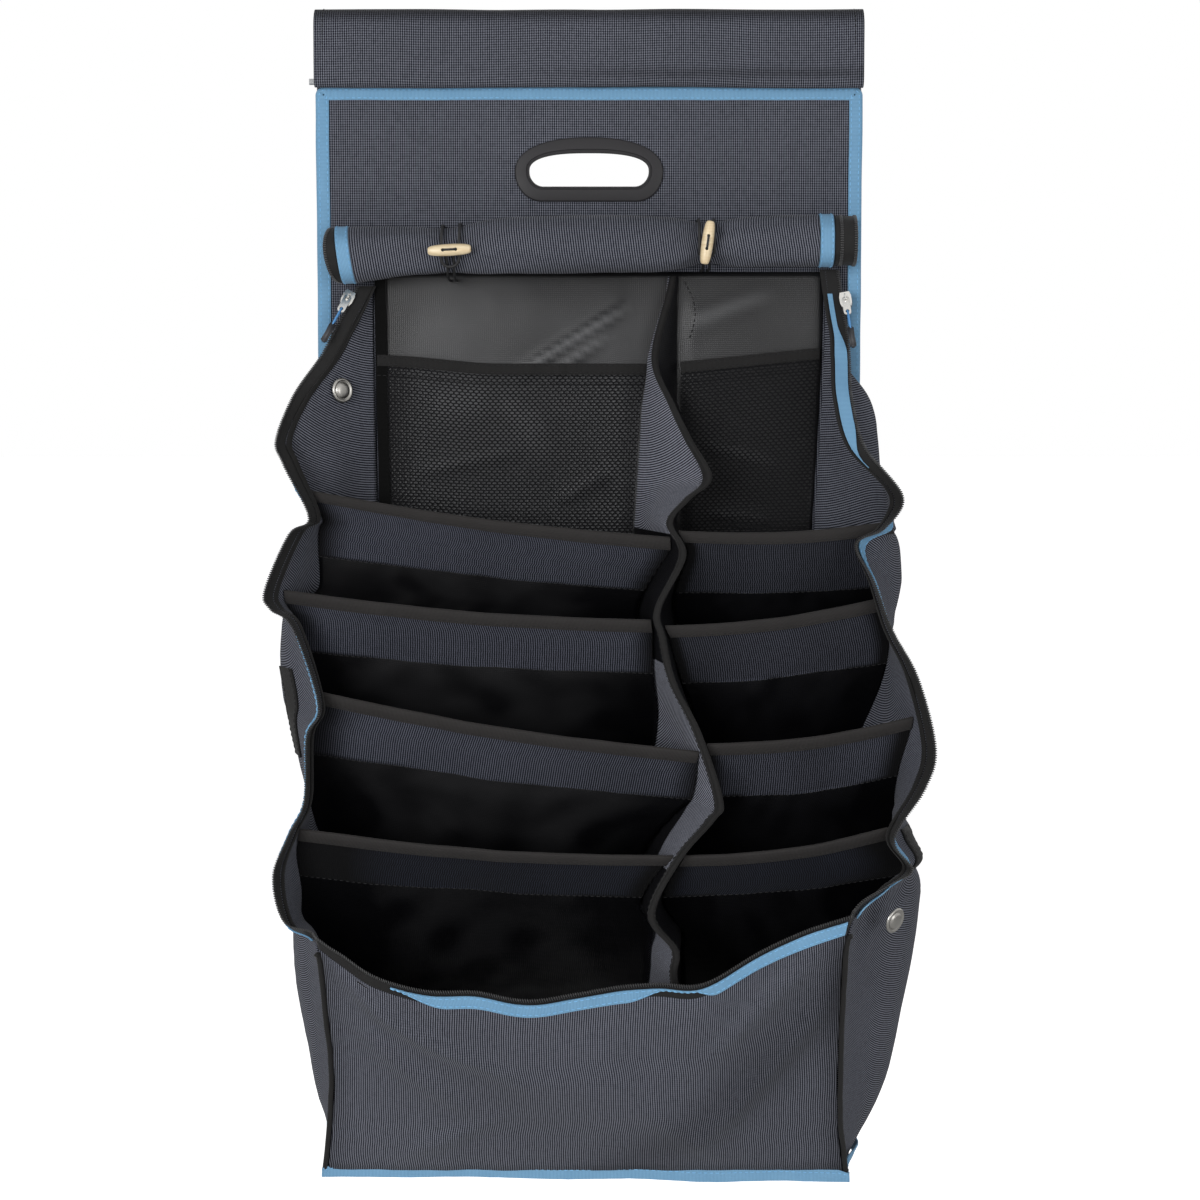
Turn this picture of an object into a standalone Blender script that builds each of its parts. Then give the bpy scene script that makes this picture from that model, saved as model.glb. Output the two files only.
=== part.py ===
"""A tent organizer: a soft bag with two columns of pockets that hangs by a sleeve on a tent pole.

Metres, with X to the right, Y to the back and Z up. The origin is the pole's centre in the sleeve.
The front cover is rolled up under the handle, and its zip is open.
"""

import math

import bmesh
import bpy
from mathutils import Matrix, Vector
from mathutils.bvhtree import BVHTree

# Cloth, board and the clearances between sewn pieces
GAP = 0.0003
SEAM_GAP = 0.0009
ZIP_GAP = 0.0016
CANVAS = 0.0016
BAND = 0.001
BOARD = 0.003
LINING = 0.0008

# Sleeve round the pole
POLE_RADIUS = 0.014
SLEEVE_FIT = 0.0006
SLEEVE_OVERHANG = 0.001
SLEEVE_FOLD = 0.0458
SLEEVE_OVER = 0.0033
CREASE = 0.0013
SLEEVE_TAIL = 0.018
FLAP_TURN = 0.006
FLAP_HINGE_DROP = 0.008
FLAP_STRAIGHT = 0.010
ROD_RADIUS = 0.0025
ROD_PROUD = 0.004
STRIP_HEIGHT = 0.014
STRIP_THICKNESS = 0.0015
STRIP_INSET = 0.006
STRIP_RISE = 0.001

# Back panel, its binding and its handle
PANEL_WIDTH = 0.436
PANEL_TOP = 0.046
PANEL_CORNER = 0.006
BINDING_WIDTH = 0.0095
BINDING_CORNER = 0.002
HANDLE_DROP = 0.1105
HANDLE_WIDTH = 0.119
HANDLE_HEIGHT = 0.051
HANDLE_ARCH = 0.54
HANDLE_CORNER = 0.42
GRIP_WIDTH = 0.096
GRIP_HEIGHT = 0.027
COLLAR_WALL = 0.002
FLANGE = 0.0035

# Bag: top of its opening, height, depth at the front corners and seams on the back panel
BAG_TOP = -0.210
BAG_HEIGHT = 0.695
BAG_DEPTH = 0.195
SEAM_INSET_LEFT = 0.046
SEAM_INSET_RIGHT = 0.036
SPLIT_SHARE = 0.6261
ZIP_TAPE = 0.012
COIL = 0.003
TRIM_WIDTH = 0.010
PIPING_RADIUS = 0.002
BOTTOM_BAND = 0.009
FOLD_STEPS = 2

# Gusset edges from top to bottom, as (share of height, share of depth, reach outside the back
# panel's edge, belly of the cloth, turn of the zip tape in degrees)
LEFT_EDGE = [
    (0.000, 0.070, -0.040, 0.000, 85),
    (0.025, 0.094, -0.031, 0.000, 85),
    (0.050, 0.118, -0.022, 0.000, 85),
    (0.075, 0.142, -0.013, 0.000, 85),
    (0.111, 0.250, 0.001, 0.000, 55),
    (0.167, 0.385, 0.025, 0.000, 20),
    (0.194, 0.420, 0.020, 0.002, 0),
    (0.253, 0.470, -0.001, 0.008, 0),
    (0.271, 0.500, 0.012, 0.008, 0),
    (0.331, 0.615, 0.030, 0.006, 0),
    (0.351, 0.645, 0.025, 0.008, 0),
    (0.371, 0.680, 0.007, 0.020, 0),
    (0.453, 0.775, -0.015, 0.042, 0),
    (0.486, 0.810, -0.006, 0.034, 0),
    (0.554, 0.860, -0.005, 0.030, 0),
    (0.588, 0.900, 0.006, 0.026, 0),
    (0.633, 0.935, 0.017, 0.014, 0),
    (0.685, 0.975, 0.008, 0.024, 0),
    (0.705, 1.000, -0.016, 0.040, 0),
    (0.778, 0.870, -0.019, 0.038, 0),
    (0.878, 0.720, -0.020, 0.028, 0),
    (1.000, 0.513, -0.009, 0.018, 0),
]
RIGHT_EDGE = [
    (0.000, 0.070, -0.027, 0.004, 80),
    (0.025, 0.098, -0.024, 0.004, 80),
    (0.050, 0.126, -0.021, 0.004, 80),
    (0.075, 0.154, -0.018, 0.006, 80),
    (0.122, 0.250, -0.014, 0.022, 80),
    (0.178, 0.335, -0.005, 0.026, 70),
    (0.230, 0.420, 0.021, 0.016, 30),
    (0.265, 0.460, 0.010, 0.025, 0),
    (0.283, 0.490, -0.011, 0.050, 0),
    (0.325, 0.575, 0.002, 0.048, 0),
    (0.374, 0.655, 0.014, 0.034, 0),
    (0.424, 0.730, 0.030, 0.016, 0),
    (0.498, 0.800, 0.044, 0.006, 0),
    (0.541, 0.845, 0.035, 0.010, 0),
    (0.593, 0.895, 0.011, 0.026, 0),
    (0.626, 0.930, 0.024, 0.034, 0),
    (0.647, 0.965, 0.004, 0.052, 0),
    (0.683, 1.000, -0.023, 0.072, 0),
    (0.790, 0.860, -0.026, 0.064, 0),
    (0.924, 0.640, -0.022, 0.036, 0),
    (1.000, 0.513, -0.014, 0.024, 0),
]
LEFT_CORNER = 18
RIGHT_CORNER = 17

# Centre divider's front edge, as (share of height, share of depth, sway from its back seam)
CENTRE_EDGE = [
    (0.000, 0.070, 0.009),
    (0.075, 0.133, -0.003),
    (0.128, 0.256, 0.011),
    (0.167, 0.333, 0.024),
    (0.209, 0.400, 0.039),
    (0.233, 0.430, 0.022),
    (0.259, 0.470, 0.008),
    (0.294, 0.538, 0.018),
    (0.351, 0.626, -0.002),
    (0.381, 0.667, 0.001),
    (0.429, 0.718, 0.009),
    (0.482, 0.785, 0.028),
    (0.553, 0.850, 0.044),
    (0.573, 0.872, 0.038),
    (0.613, 0.913, 0.013),
    (0.673, 0.940, -0.008),
    (0.711, 0.950, 0.010),
    (0.737, 0.945, 0.009),
    (0.780, 0.830, 0.012),
    (0.890, 0.660, 0.014),
    (1.000, 0.480, 0.015),
]

# Dividers from top to bottom, as shares of the bag's height: top edge at the gusset, top edge at
# the centre divider, bottom edge at the back wall; and how far the top edge lies behind the gusset
LEFT_DIVIDERS = [
    (0.224, 0.271, 0.470),
    (0.335, 0.363, 0.620),
    (0.437, 0.498, 0.775),
    (0.584, 0.612, 0.895),
]
RIGHT_DIVIDERS = [
    (0.256, 0.265, 0.470),
    (0.342, 0.366, 0.620),
    (0.468, 0.492, 0.775),
    (0.580, 0.614, 0.895),
]
DIVIDER_SETBACK = 0.010
DIVIDER_GAP = 0.0024
DIVIDER_BELLY = 0.012
DIVIDER_ROWS = (0.0, 0.06, 0.075, 0.16, 0.26, 0.36, 0.46, 0.56, 0.66, 0.76, 0.86, 0.94, 0.97, 1.0)
DIVIDER_PROBE = 0.004
RIM_ROWS = 2
RIM_THICKNESS = 0.003

# Droop of the front panel's top edge, as (share of its width, drop)
FRONT_DROOP = [
    (0.00, 0.000),
    (0.05, 0.008),
    (0.11, 0.021),
    (0.21, 0.032),
    (0.30, 0.033),
    (0.40, 0.042),
    (0.52, 0.035),
    (0.63, 0.033),
    (0.72, 0.036),
    (0.83, 0.012),
    (0.91, 0.003),
    (1.00, 0.000),
]
FRONT_BULGE = 0.008
FRONT_FOLD = 0.0035
FRONT_ROWS = 9
FRONT_COLUMNS = 20

# Net pockets on the back wall
NET_DROP = 0.062
NET_HEIGHT = 0.185
NET_PITCH = 0.025
NET_STRAND = 0.0016
NET_OFF = 0.003
HEM_HEIGHT = 0.009

# Rolled cover: stations as (share of the panel's half width, centre below the origin, radius)
ROLL_STATIONS = [
    (-0.8853, 0.1815, 0.0235),
    (-0.6881, 0.1790, 0.0215),
    (-0.5000, 0.1780, 0.0195),
    (-0.3211, 0.1740, 0.0230),
    (0.0000, 0.1730, 0.0240),
    (0.2752, 0.1730, 0.0230),
    (0.4266, 0.1720, 0.0175),
    (0.5734, 0.1710, 0.0210),
    (0.8349, 0.1700, 0.0220),
]
ROLL_STANDOFF = 0.004
ROLL_LAYER = 0.0032
ROLL_PITCH = 0.0047
ROLL_TURNS = 2.5
ROLL_SIDES = 12
ROLL_TRIM = 0.013
ROLL_ZIP_LEFT = 0.008
ROLL_ZIP_RIGHT = 0.016

# Elastic loops and wooden toggles
ELASTIC_RADIUS = 0.0012
CORD_RADIUS = 0.001
TOGGLE_LENGTH = 0.034
TOGGLE_RADIUS = 0.0047
TOGGLE_HOLE = 0.0013
TOGGLE_HOLE_PITCH = 0.010
TOGGLE_SHAPE = ((0.55, 1.0), (0.72, 0.94), (0.94, 0.5), (1.0, 0.0))
TOGGLE_STRANDS = 0.0052
# Toggles as (share of the panel's half width, lean in degrees, spread of the elastic)
TOGGLES = {"left": (-0.5, 3, 0.014), "right": (0.4266, 82, 0.012)}

# Zip sliders and their pulls
SLIDER_LENGTH = 0.012
SLIDER_WIDTH = 0.0095
SLIDER_PLATE = 0.0012
SLIDER_CHANNEL = 0.0038
SLIDER_WEB = 0.0008
SLIDER_SHAPE = ((-0.5, 0.8), (-0.2, 1.0), (0.25, 1.0), (0.5, 0.78))
BRIDGE_WIRE = 0.0006
BRIDGE_REACH = 0.0026
BRIDGE_BACK = 0.0035
BRIDGE_FRONT = 0.0015
BRIDGE_ROUND = 0.0007
TAB_LENGTH = 0.016
TAB_WIDTH = 0.006
TAB_THICKNESS = 0.001
TAB_EYE = (0.0026, 0.004)
TAB_EYE_DROP = 0.0026
TAB_TOP = 0.0006
CORD_EYE = 0.003
PULL_CORD = 0.0008
PULL_CORD_LENGTH = 0.014
PULL_LEAN = 8.0
GRIP_LENGTH = 0.018
GRIP_SECTION = (0.005, 0.0048)
GRIP_BEVEL = 0.0012

# Press studs and side webbing
STUD_RADIUS = 0.010
STUD_HEIGHT = 0.003
STUD_SHAPE = ((0.45, 0.95), (0.80, 0.72), (1.0, 0.3), (0.97, 0.0))
WEBBING_WIDTH = 0.025
STUDS = {
    "stud_left_upper": ("left", 0.125, 0.55, True),
    "stud_left_lower": ("left", 0.690, 0.80, True),
    "stud_right": ("right", 0.680, 0.85, False),
}
WEBBING = {
    "webbing_left": ("left", 0.415, 0.525, 0.045),
    "webbing_right": ("right", 0.590, 0.650, 0.030),
}

for existing in list(bpy.data.objects):
    bpy.data.objects.remove(existing)

ORGANIZER = bpy.data.collections.new("tent_organizer")
CUTTERS = bpy.data.collections.new("cutters")
bpy.context.scene.collection.children.link(ORGANIZER)
bpy.context.scene.collection.children.link(CUTTERS)

UP = Vector((0, 0, 1))
ACROSS_Y = Matrix.Rotation(math.pi / 2, 3, "X")
PANEL_FACE = BOARD / 2
PANEL_FOOT = BAG_TOP - BAG_HEIGHT
SLEEVE_LENGTH = PANEL_WIDTH + 2 * SLEEVE_OVERHANG
SEAM_LEFT = PANEL_WIDTH / 2 - SEAM_INSET_LEFT
SEAM_RIGHT = PANEL_WIDTH / 2 - SEAM_INSET_RIGHT
COLUMN_SPLIT = PANEL_WIDTH / 2 * (2 * SPLIT_SHARE - 1)
ROLL = [(share * PANEL_WIDTH / 2, drop, radius) for share, drop, radius in ROLL_STATIONS]


def principled(name, colour, roughness, metallic=0.0):
    found = bpy.data.materials.new(name)
    found.use_nodes = True
    shader = found.node_tree.nodes["Principled BSDF"]
    shader.inputs["Base Color"].default_value = (*colour, 1.0)
    shader.inputs["Roughness"].default_value = roughness
    shader.inputs["Metallic"].default_value = metallic
    return found


CANVAS_CLOTH = principled("canvas", (0.067, 0.074, 0.098), 0.85)
LINING_CLOTH = principled("lining", (0.012, 0.012, 0.014), 0.45)
BLUE_BAND = principled("blue_band", (0.13, 0.36, 0.63), 0.75)
BLACK_BAND = principled("black_band", (0.012, 0.012, 0.013), 0.8)
NET_YARN = principled("net", (0.01, 0.01, 0.011), 0.7)
PLASTIC = principled("plastic", (0.03, 0.03, 0.032), 0.4)
WOOD = principled("wood", (0.82, 0.67, 0.44), 0.5)
METAL = principled("metal", (0.72, 0.71, 0.68), 0.28, 1.0)
ROD_STEEL = principled("rod", (0.45, 0.46, 0.47), 0.4, 0.6)
ELASTIC = principled("elastic", (0.008, 0.008, 0.009), 0.75)
BLUE_CORD = principled("blue_cord", (0.10, 0.28, 0.55), 0.6)


def add(name, data, material, collection=None):
    made = bpy.data.objects.new(name, data)
    (collection or ORGANIZER).objects.link(made)
    if material:
        data.materials.append(material)
    return made


def mesh_of(bm, name):
    bmesh.ops.recalc_face_normals(bm, faces=bm.faces)
    data = bpy.data.meshes.new(name)
    bm.to_mesh(data)
    bm.free()
    data.shade_smooth()
    data.set_sharp_from_angle(angle=math.radians(35))
    return data


def smooth(stations, steps):
    """Stations with steps - 1 more between each pair, on a Catmull-Rom curve."""
    rows = []
    for i in range(len(stations) - 1):
        near = (stations[max(i - 1, 0)], stations[i], stations[i + 1])
        far = stations[min(i + 2, len(stations) - 1)]
        for step in range(steps):
            t = step / steps
            rows.append(
                tuple(
                    b + 0.5 * t * (c - a + t * (2 * a - 5 * b + 4 * c - d + t * (3 * (b - c) + d - a)))
                    for a, b, c, d in zip(*near, far)
                )
            )
    rows.append(stations[-1])
    return rows


def lookup(stations, at):
    """The values at a share, straight between stations sorted by their first value."""
    for low, high in zip(stations, stations[1:]):
        if at <= high[0]:
            t = (at - low[0]) / (high[0] - low[0])
            return [a + (b - a) * t for a, b in zip(low[1:], high[1:])]
    return list(stations[-1][1:])


def sheet(name, rows, thickness, material, rim_rows=0, rim=1.0):
    """Cloth from rows of points, given its thickness by Solidify, with a thicker rim at the top."""
    bm = bmesh.new()
    grid = [[bm.verts.new(p) for p in row] for row in rows]
    for upper, lower in zip(grid, grid[1:]):
        for i in range(len(upper) - 1):
            bm.faces.new((upper[i], lower[i], lower[i + 1], upper[i + 1]))
    made = add(name, mesh_of(bm, name), material)
    solidify = made.modifiers.new("thickness", "SOLIDIFY")
    solidify.thickness = thickness * rim
    solidify.offset = 0
    if rim_rows:
        group = made.vertex_groups.new(name="rim")
        across = len(rows[0])
        group.add(list(range(rim_rows * across)), 1.0, "REPLACE")
        group.add(list(range(rim_rows * across, len(rows) * across)), 1 / rim, "REPLACE")
        solidify.vertex_group = "rim"
    return made


def slab(name, outer, inner, material):
    """A closed body between two grids of points that match."""
    bm = bmesh.new()
    grids = [[[bm.verts.new(p) for p in row] for row in grid] for grid in (outer, inner)]
    for grid in grids:
        for upper, lower in zip(grid, grid[1:]):
            for i in range(len(upper) - 1):
                bm.faces.new((upper[i], lower[i], lower[i + 1], upper[i + 1]))
    a, b = grids
    for i in range(len(a) - 1):
        for j in (0, -1):
            bm.faces.new((a[i][j], a[i + 1][j], b[i + 1][j], b[i][j]))
    for j in range(len(a[0]) - 1):
        for i in (0, -1):
            bm.faces.new((a[i][j], a[i][j + 1], b[i][j + 1], b[i][j]))
    return add(name, mesh_of(bm, name), material)


def loft(name, rings, material):
    """A closed body through rings of matching points."""
    bm = bmesh.new()
    rings = [[bm.verts.new(p) for p in ring] for ring in rings]
    for first, second in zip(rings, rings[1:]):
        for i in range(len(first)):
            j = (i + 1) % len(first)
            bm.faces.new((first[i], first[j], second[j], second[i]))
    bm.faces.new(rings[0])
    bm.faces.new(rings[-1])
    return add(name, mesh_of(bm, name), material)


def sweep(name, frames, profile, material):
    """A closed profile of (across, out) points carried along frames of (origin, across, out)."""
    rings = [[origin + across * a + out * b for a, b in profile] for origin, across, out in frames]
    return loft(name, rings, material)


def tube(name, points, radius, material):
    curve = bpy.data.curves.new(name, "CURVE")
    curve.dimensions = "3D"
    curve.bevel_depth = radius
    curve.bevel_resolution = 2
    curve.use_fill_caps = True
    spline = curve.splines.new("POLY")
    spline.points.add(len(points) - 1)
    for point, place in zip(spline.points, points):
        point.co = (*place, 1)
    return add(name, curve, material)


def plate(name, outlines, thickness, material, bevel=0.0, collection=None):
    """A flat piece in the XZ plane: the first outline is its edge and the others are holes."""
    curve = bpy.data.curves.new(name, "CURVE")
    curve.dimensions = "2D"
    curve.fill_mode = "BOTH"
    curve.extrude = thickness / 2 - bevel
    curve.bevel_depth = bevel
    curve.bevel_resolution = 1
    curve.offset = -bevel
    for outline in outlines:
        spline = curve.splines.new("POLY")
        spline.points.add(len(outline) - 1)
        spline.use_cyclic_u = True
        for point, (x, z) in zip(spline.points, outline):
            point.co = (x, z, 0, 1)
    made = add(name, curve, material, collection)
    made.rotation_euler = (math.pi / 2, 0, 0)
    return made


def as_mesh(made):
    """Replace a curve object by a welded mesh object under the same name."""
    bpy.context.view_layer.update()
    graph = bpy.context.evaluated_depsgraph_get()
    data = bpy.data.meshes.new_from_object(made.evaluated_get(graph))
    bm = bmesh.new()
    bm.from_mesh(data)
    bmesh.ops.remove_doubles(bm, verts=bm.verts, dist=0.00001)
    bmesh.ops.recalc_face_normals(bm, faces=bm.faces)
    bm.to_mesh(data)
    bm.free()
    name = made.name
    place = made.matrix_world.copy()
    homes = list(made.users_collection)
    bpy.data.objects.remove(made)
    meshed = bpy.data.objects.new(name, data)
    homes[0].objects.link(meshed)
    meshed.matrix_world = place
    return meshed


def combine(made, other, operation):
    """Keep a Boolean with another object, which then counts as a cutter."""
    other.hide_render = True
    other.display_type = "WIRE"
    for home in list(other.users_collection):
        home.objects.unlink(other)
    CUTTERS.objects.link(other)
    boolean = made.modifiers.new(operation.lower(), "BOOLEAN")
    boolean.operation = operation
    boolean.solver = "EXACT"
    boolean.object = other


def turned(name, profile, material, steps=20):
    """A profile of (radius, height) points, top to bottom, turned round the local Z axis."""
    bm = bmesh.new()
    points = [bm.verts.new((radius, 0, height)) for radius, height in profile]
    for first, second in zip(points, points[1:]):
        bm.edges.new((first, second))
    data = bpy.data.meshes.new(name)
    bm.to_mesh(data)
    bm.free()
    made = add(name, data, material)
    screw = made.modifiers.new("turn", "SCREW")
    screw.steps = steps
    screw.render_steps = steps
    screw.use_merge_vertices = True
    screw.merge_threshold = 0.00001
    return made


def arc(cx, cz, radius, start, end, steps):
    """Points on an arc in degrees, counted from +X towards +Z."""
    turn = (end - start) / steps
    return [
        (
            cx + radius * math.cos(math.radians(start + turn * i)),
            cz + radius * math.sin(math.radians(start + turn * i)),
        )
        for i in range(steps + 1)
    ]


def rounded(width, height, lower, upper, steps=5, cx=0.0, cz=0.0):
    """A rounded rectangle with one radius for its lower corners and one for its upper corners."""
    w = width / 2
    h = height / 2
    points = arc(cx + w - lower, cz - h + lower, lower, -90, 0, steps)
    points += arc(cx + w - upper, cz + h - upper, upper, 0, 90, steps)
    points += arc(cx - w + upper, cz + h - upper, upper, 90, 180, steps)
    points += arc(cx - w + lower, cz - h + lower, lower, 180, 270, steps)
    return points


def surface_of(made):
    """The finished surface of an object, for finding where its neighbours meet it."""
    bpy.context.view_layer.update()
    return BVHTree.FromObject(made, bpy.context.evaluated_depsgraph_get())


def strip(width, low, high):
    """A flat profile from across = low to high, with its width along out."""
    return [(low, -width / 2), (high, -width / 2), (high, width / 2), (low, width / 2)]


# Back panel with its slot, lining, binding and handle


def handle_outline(width, height, grow=0.0):
    """An arched top over a straight foot with rounded corners."""
    w = (width + grow) / 2
    rise = height * HANDLE_ARCH + grow / 2
    fall = height * (1 - HANDLE_ARCH) + grow / 2
    middle = -HANDLE_DROP + height * (0.5 - HANDLE_ARCH)
    corner = height * HANDLE_CORNER + grow / 2
    points = []
    for x, y in arc(0, 0, 1.0, 0, 180, 12):
        points.append((w * x, middle + rise * y))
    for x, y in arc(0, 0, 1.0, 180, 270, 5)[1:]:
        points.append((-w + corner + corner * x, middle + fall * y))
    for x, y in arc(0, 0, 1.0, 270, 360, 5)[:-1]:
        points.append((w - corner + corner * x, middle + fall * y))
    return points


def back_panel():
    half = PANEL_WIDTH / 2
    top = -PANEL_TOP
    outline = [(-half, PANEL_FOOT), (half, PANEL_FOOT)]
    outline += arc(half - PANEL_CORNER, top - PANEL_CORNER, PANEL_CORNER, 0, 90, 3)
    outline += arc(-half + PANEL_CORNER, top - PANEL_CORNER, PANEL_CORNER, 90, 180, 3)
    slot = handle_outline(GRIP_WIDTH, GRIP_HEIGHT, 2 * (COLLAR_WALL + GAP))
    plate("back_panel", [outline, slot], BOARD, CANVAS_CLOTH)


def panel_binding():
    """A folded band over the panel's sides and top, open at its foot."""
    half = PANEL_WIDTH / 2

    def edge(inset, radius):
        w = half - inset
        top = -PANEL_TOP - inset
        path = [(w, PANEL_FOOT)]
        path += arc(w - radius, top - radius, radius, 0, 90, 3)
        path += arc(-w + radius, top - radius, radius, 90, 180, 3)
        path.append((-w, PANEL_FOOT))
        return path

    near = PANEL_FACE + GAP
    far = near + BAND
    inner = edge(BINDING_WIDTH, BINDING_CORNER)
    fold = edge(-GAP, PANEL_CORNER + GAP)
    outer = edge(-GAP - BAND, PANEL_CORNER + GAP + BAND)
    lines = [(inner, -far), (outer, -far), (outer, far), (inner, far)]
    lines += [(inner, near), (fold, near), (fold, -near), (inner, -near)]
    rings = [[Vector((path[k][0], y, path[k][1])) for path, y in lines] for k in range(len(inner))]
    loft("panel_binding", rings, BLUE_BAND)


def back_lining():
    low = BAG_TOP - BAG_HEIGHT * (LEFT_DIVIDERS[0][2] - 0.008)
    outline = [
        (-SEAM_LEFT + CANVAS * 2, low),
        (SEAM_RIGHT - CANVAS * 2, low),
        (SEAM_RIGHT - CANVAS * 2, BAG_TOP),
        (-SEAM_LEFT + CANVAS * 2, BAG_TOP),
    ]
    made = plate("back_lining", [outline], LINING, LINING_CLOTH)
    made.location.y = -(PANEL_FACE + GAP + LINING / 2)


def handle():
    outer = handle_outline(HANDLE_WIDTH, HANDLE_HEIGHT)
    grip = handle_outline(GRIP_WIDTH, GRIP_HEIGHT)
    collar_edge = handle_outline(GRIP_WIDTH, GRIP_HEIGHT, 2 * COLLAR_WALL)
    front = plate("handle_front", [outer, grip], FLANGE, PLASTIC, bevel=0.0008)
    front.location.y = -(PANEL_FACE + GAP + FLANGE / 2)
    front = as_mesh(front)
    collar_length = FLANGE / 2 + GAP + BOARD + GAP + FLANGE
    collar = plate("handle_collar", [collar_edge, grip], collar_length, None)
    collar.location.y = -(PANEL_FACE + GAP + FLANGE / 2) + collar_length / 2
    combine(front, as_mesh(collar), "UNION")
    clear = handle_outline(GRIP_WIDTH, GRIP_HEIGHT, 2 * (COLLAR_WALL + GAP))
    back = plate("handle_back", [outer, clear], FLANGE, PLASTIC, bevel=0.0008)
    back.location.y = PANEL_FACE + GAP + FLANGE / 2


# Sleeve, flap, strips and rod


def profile_band(name, path, thickness, length, material):
    """A band of cloth with its path in the YZ plane and its length along X."""
    points = [Vector((0, y, z)) for y, z in path]
    rows = []
    for x in (-length / 2, length / 2):
        rows.append([p + Vector((x, 0, 0)) for p in points])
    return sheet(name, rows, thickness, material)


def sleeve():
    radius = POLE_RADIUS + SLEEVE_FIT + CANVAS / 2
    tail = PANEL_FACE + GAP + BAND + GAP + CANVAS / 2
    foot = -(PANEL_TOP + SLEEVE_TAIL)
    over = -PANEL_TOP + SLEEVE_OVER
    low = -SLEEVE_FOLD
    path = [(tail, foot), (tail, over - CREASE), (tail - CREASE, over), (-tail + CREASE, over)]
    path += [(-tail - CREASE, low + CREASE), (-radius / 2, low), (-radius + 2.6 * CREASE, low)]
    path += [(-radius + 0.6 * CREASE, low + 2 * CREASE), (-radius, low + 5 * CREASE)]
    path += [(-y, z) for y, z in arc(0, 0, radius, 0, 180, 12)]
    path.append((radius, -FLAP_HINGE_DROP))
    profile_band("sleeve", path, CANVAS, SLEEVE_LENGTH, CANVAS_CLOTH)

    loop_at = tail + CANVAS / 2 + GAP + STRIP_THICKNESS / 2
    hook_at = loop_at + STRIP_THICKNESS + GAP
    flap_at = hook_at + STRIP_THICKNESS / 2 + GAP + CANVAS / 2
    strips = {}
    for name, place in (("sleeve_loop_strip", loop_at), ("flap_hook_strip", hook_at)):
        width = SLEEVE_LENGTH - 2 * STRIP_INSET
        outline = rounded(width, STRIP_HEIGHT, STRIP_RISE, STRIP_RISE, 1)
        strips[name] = plate(name, [outline], STRIP_THICKNESS, BLACK_BAND)
        strips[name].location = (0, place, foot + STRIP_HEIGHT / 2 + STRIP_RISE)
    top = -FLAP_HINGE_DROP - GAP
    flap = [(radius, top), (radius, top - FLAP_STRAIGHT), (flap_at, -PANEL_TOP + FLAP_TURN)]
    flap.append((flap_at, foot - STRIP_RISE))
    flap = profile_band("sleeve_flap", flap, CANVAS, SLEEVE_LENGTH, CANVAS_CLOTH)

    hinge = bpy.data.objects.new("flap_axis", None)
    hinge.empty_display_size = SLEEVE_TAIL
    hinge.location = (0, radius + CANVAS / 2, -FLAP_HINGE_DROP - GAP / 2)
    ORGANIZER.objects.link(hinge)
    print(f"sleeve_flap: hinge {tuple(round(v, 5) for v in hinge.location)}")
    for made in (flap, strips["flap_hook_strip"]):
        made.parent = hinge
        made.location -= hinge.location

    middle = (-radius / 2 - radius + 2.6 * CREASE) / 2
    centre = Vector((0, middle, low + CANVAS / 2 + GAP + ROD_RADIUS))
    ends = [-SLEEVE_LENGTH / 2 - ROD_PROUD, SLEEVE_LENGTH / 2 - ROD_PROUD]
    tube("sleeve_rod", [centre + Vector((x, 0, 0)) for x in ends], ROD_RADIUS, ROD_STEEL)


# Gussets with their zip halves, trims, webbing and studs


class Gusset:
    """One side wall: rows of cloth from its seam on the back panel to its front edge."""

    def __init__(self, side, seam, stations, corner):
        self.side = side
        self.seam = seam
        self.rows = smooth(stations, FOLD_STEPS)
        self.corner = corner * FOLD_STEPS

    def height(self, share):
        return BAG_TOP - BAG_HEIGHT * share

    def point(self, row, t):
        share, depth, splay, belly, _ = row
        foot = GAP + BOARD if share > 0.999 else 0.0
        z = self.height(share) + foot
        back = Vector((self.side * self.seam, -PANEL_FACE - SEAM_GAP - CANVAS / 2, z))
        front = Vector((self.side * (PANEL_WIDTH / 2 + splay), -depth * BAG_DEPTH, z))
        out = self.side * belly * 4 * t * (1 - t)
        return back.lerp(front, t) + Vector((out, 0, 0))

    def inset(self, index):
        """How far the cloth stops short of the front line: for the zip tape or for the piping."""
        if index < self.corner:
            return ZIP_TAPE * math.cos(math.radians(self.rows[index][4]))
        return PIPING_RADIUS + GAP + CANVAS / 2

    def share_at(self, row, distance):
        """The share along a row that lies a distance behind the front line."""
        here = self.point(row, 1.0)
        gone = 0.0
        t = 1.0
        step = 1 / 64
        while t > step:
            there = self.point(row, t - step)
            gone += (there - here).length
            if gone >= distance:
                return t - step * (1 - (gone - distance) / (there - here).length)
            here = there
            t -= step
        return t

    def edge(self, index):
        return self.share_at(self.rows[index], self.inset(index))

    def frame(self, index, behind=0.0, turned_out=True):
        """Origin, across and out at the cloth's front edge or a distance behind it."""
        row = self.rows[index]
        t = self.share_at(row, self.inset(index) + behind)
        origin = self.point(row, t)
        across = (origin - self.point(row, max(t - 0.03, 0.0))).normalized()
        if turned_out:
            turn = math.radians(row[4])
            sideways = Vector((self.side * math.sin(turn), -math.cos(turn), 0))
            across = across.lerp(sideways, min(turn, 1.0)).normalized()
        lift = max(0.0, 1 - (self.corner - index) / (2.5 * FOLD_STEPS))
        if lift and behind == 0.0:
            across = (across * (1 - 0.8 * lift) + UP * 0.8 * lift).normalized()
        out = across.cross(UP) * -self.side
        return origin, across, out.normalized()

    def cloth(self, name):
        columns = 7
        rows = []
        for index, row in enumerate(self.rows):
            last = self.edge(index)
            rows.append([self.point(row, last * i / (columns - 1)) for i in range(columns)])
        return sheet(name, rows, CANVAS, CANVAS_CLOTH)


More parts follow.
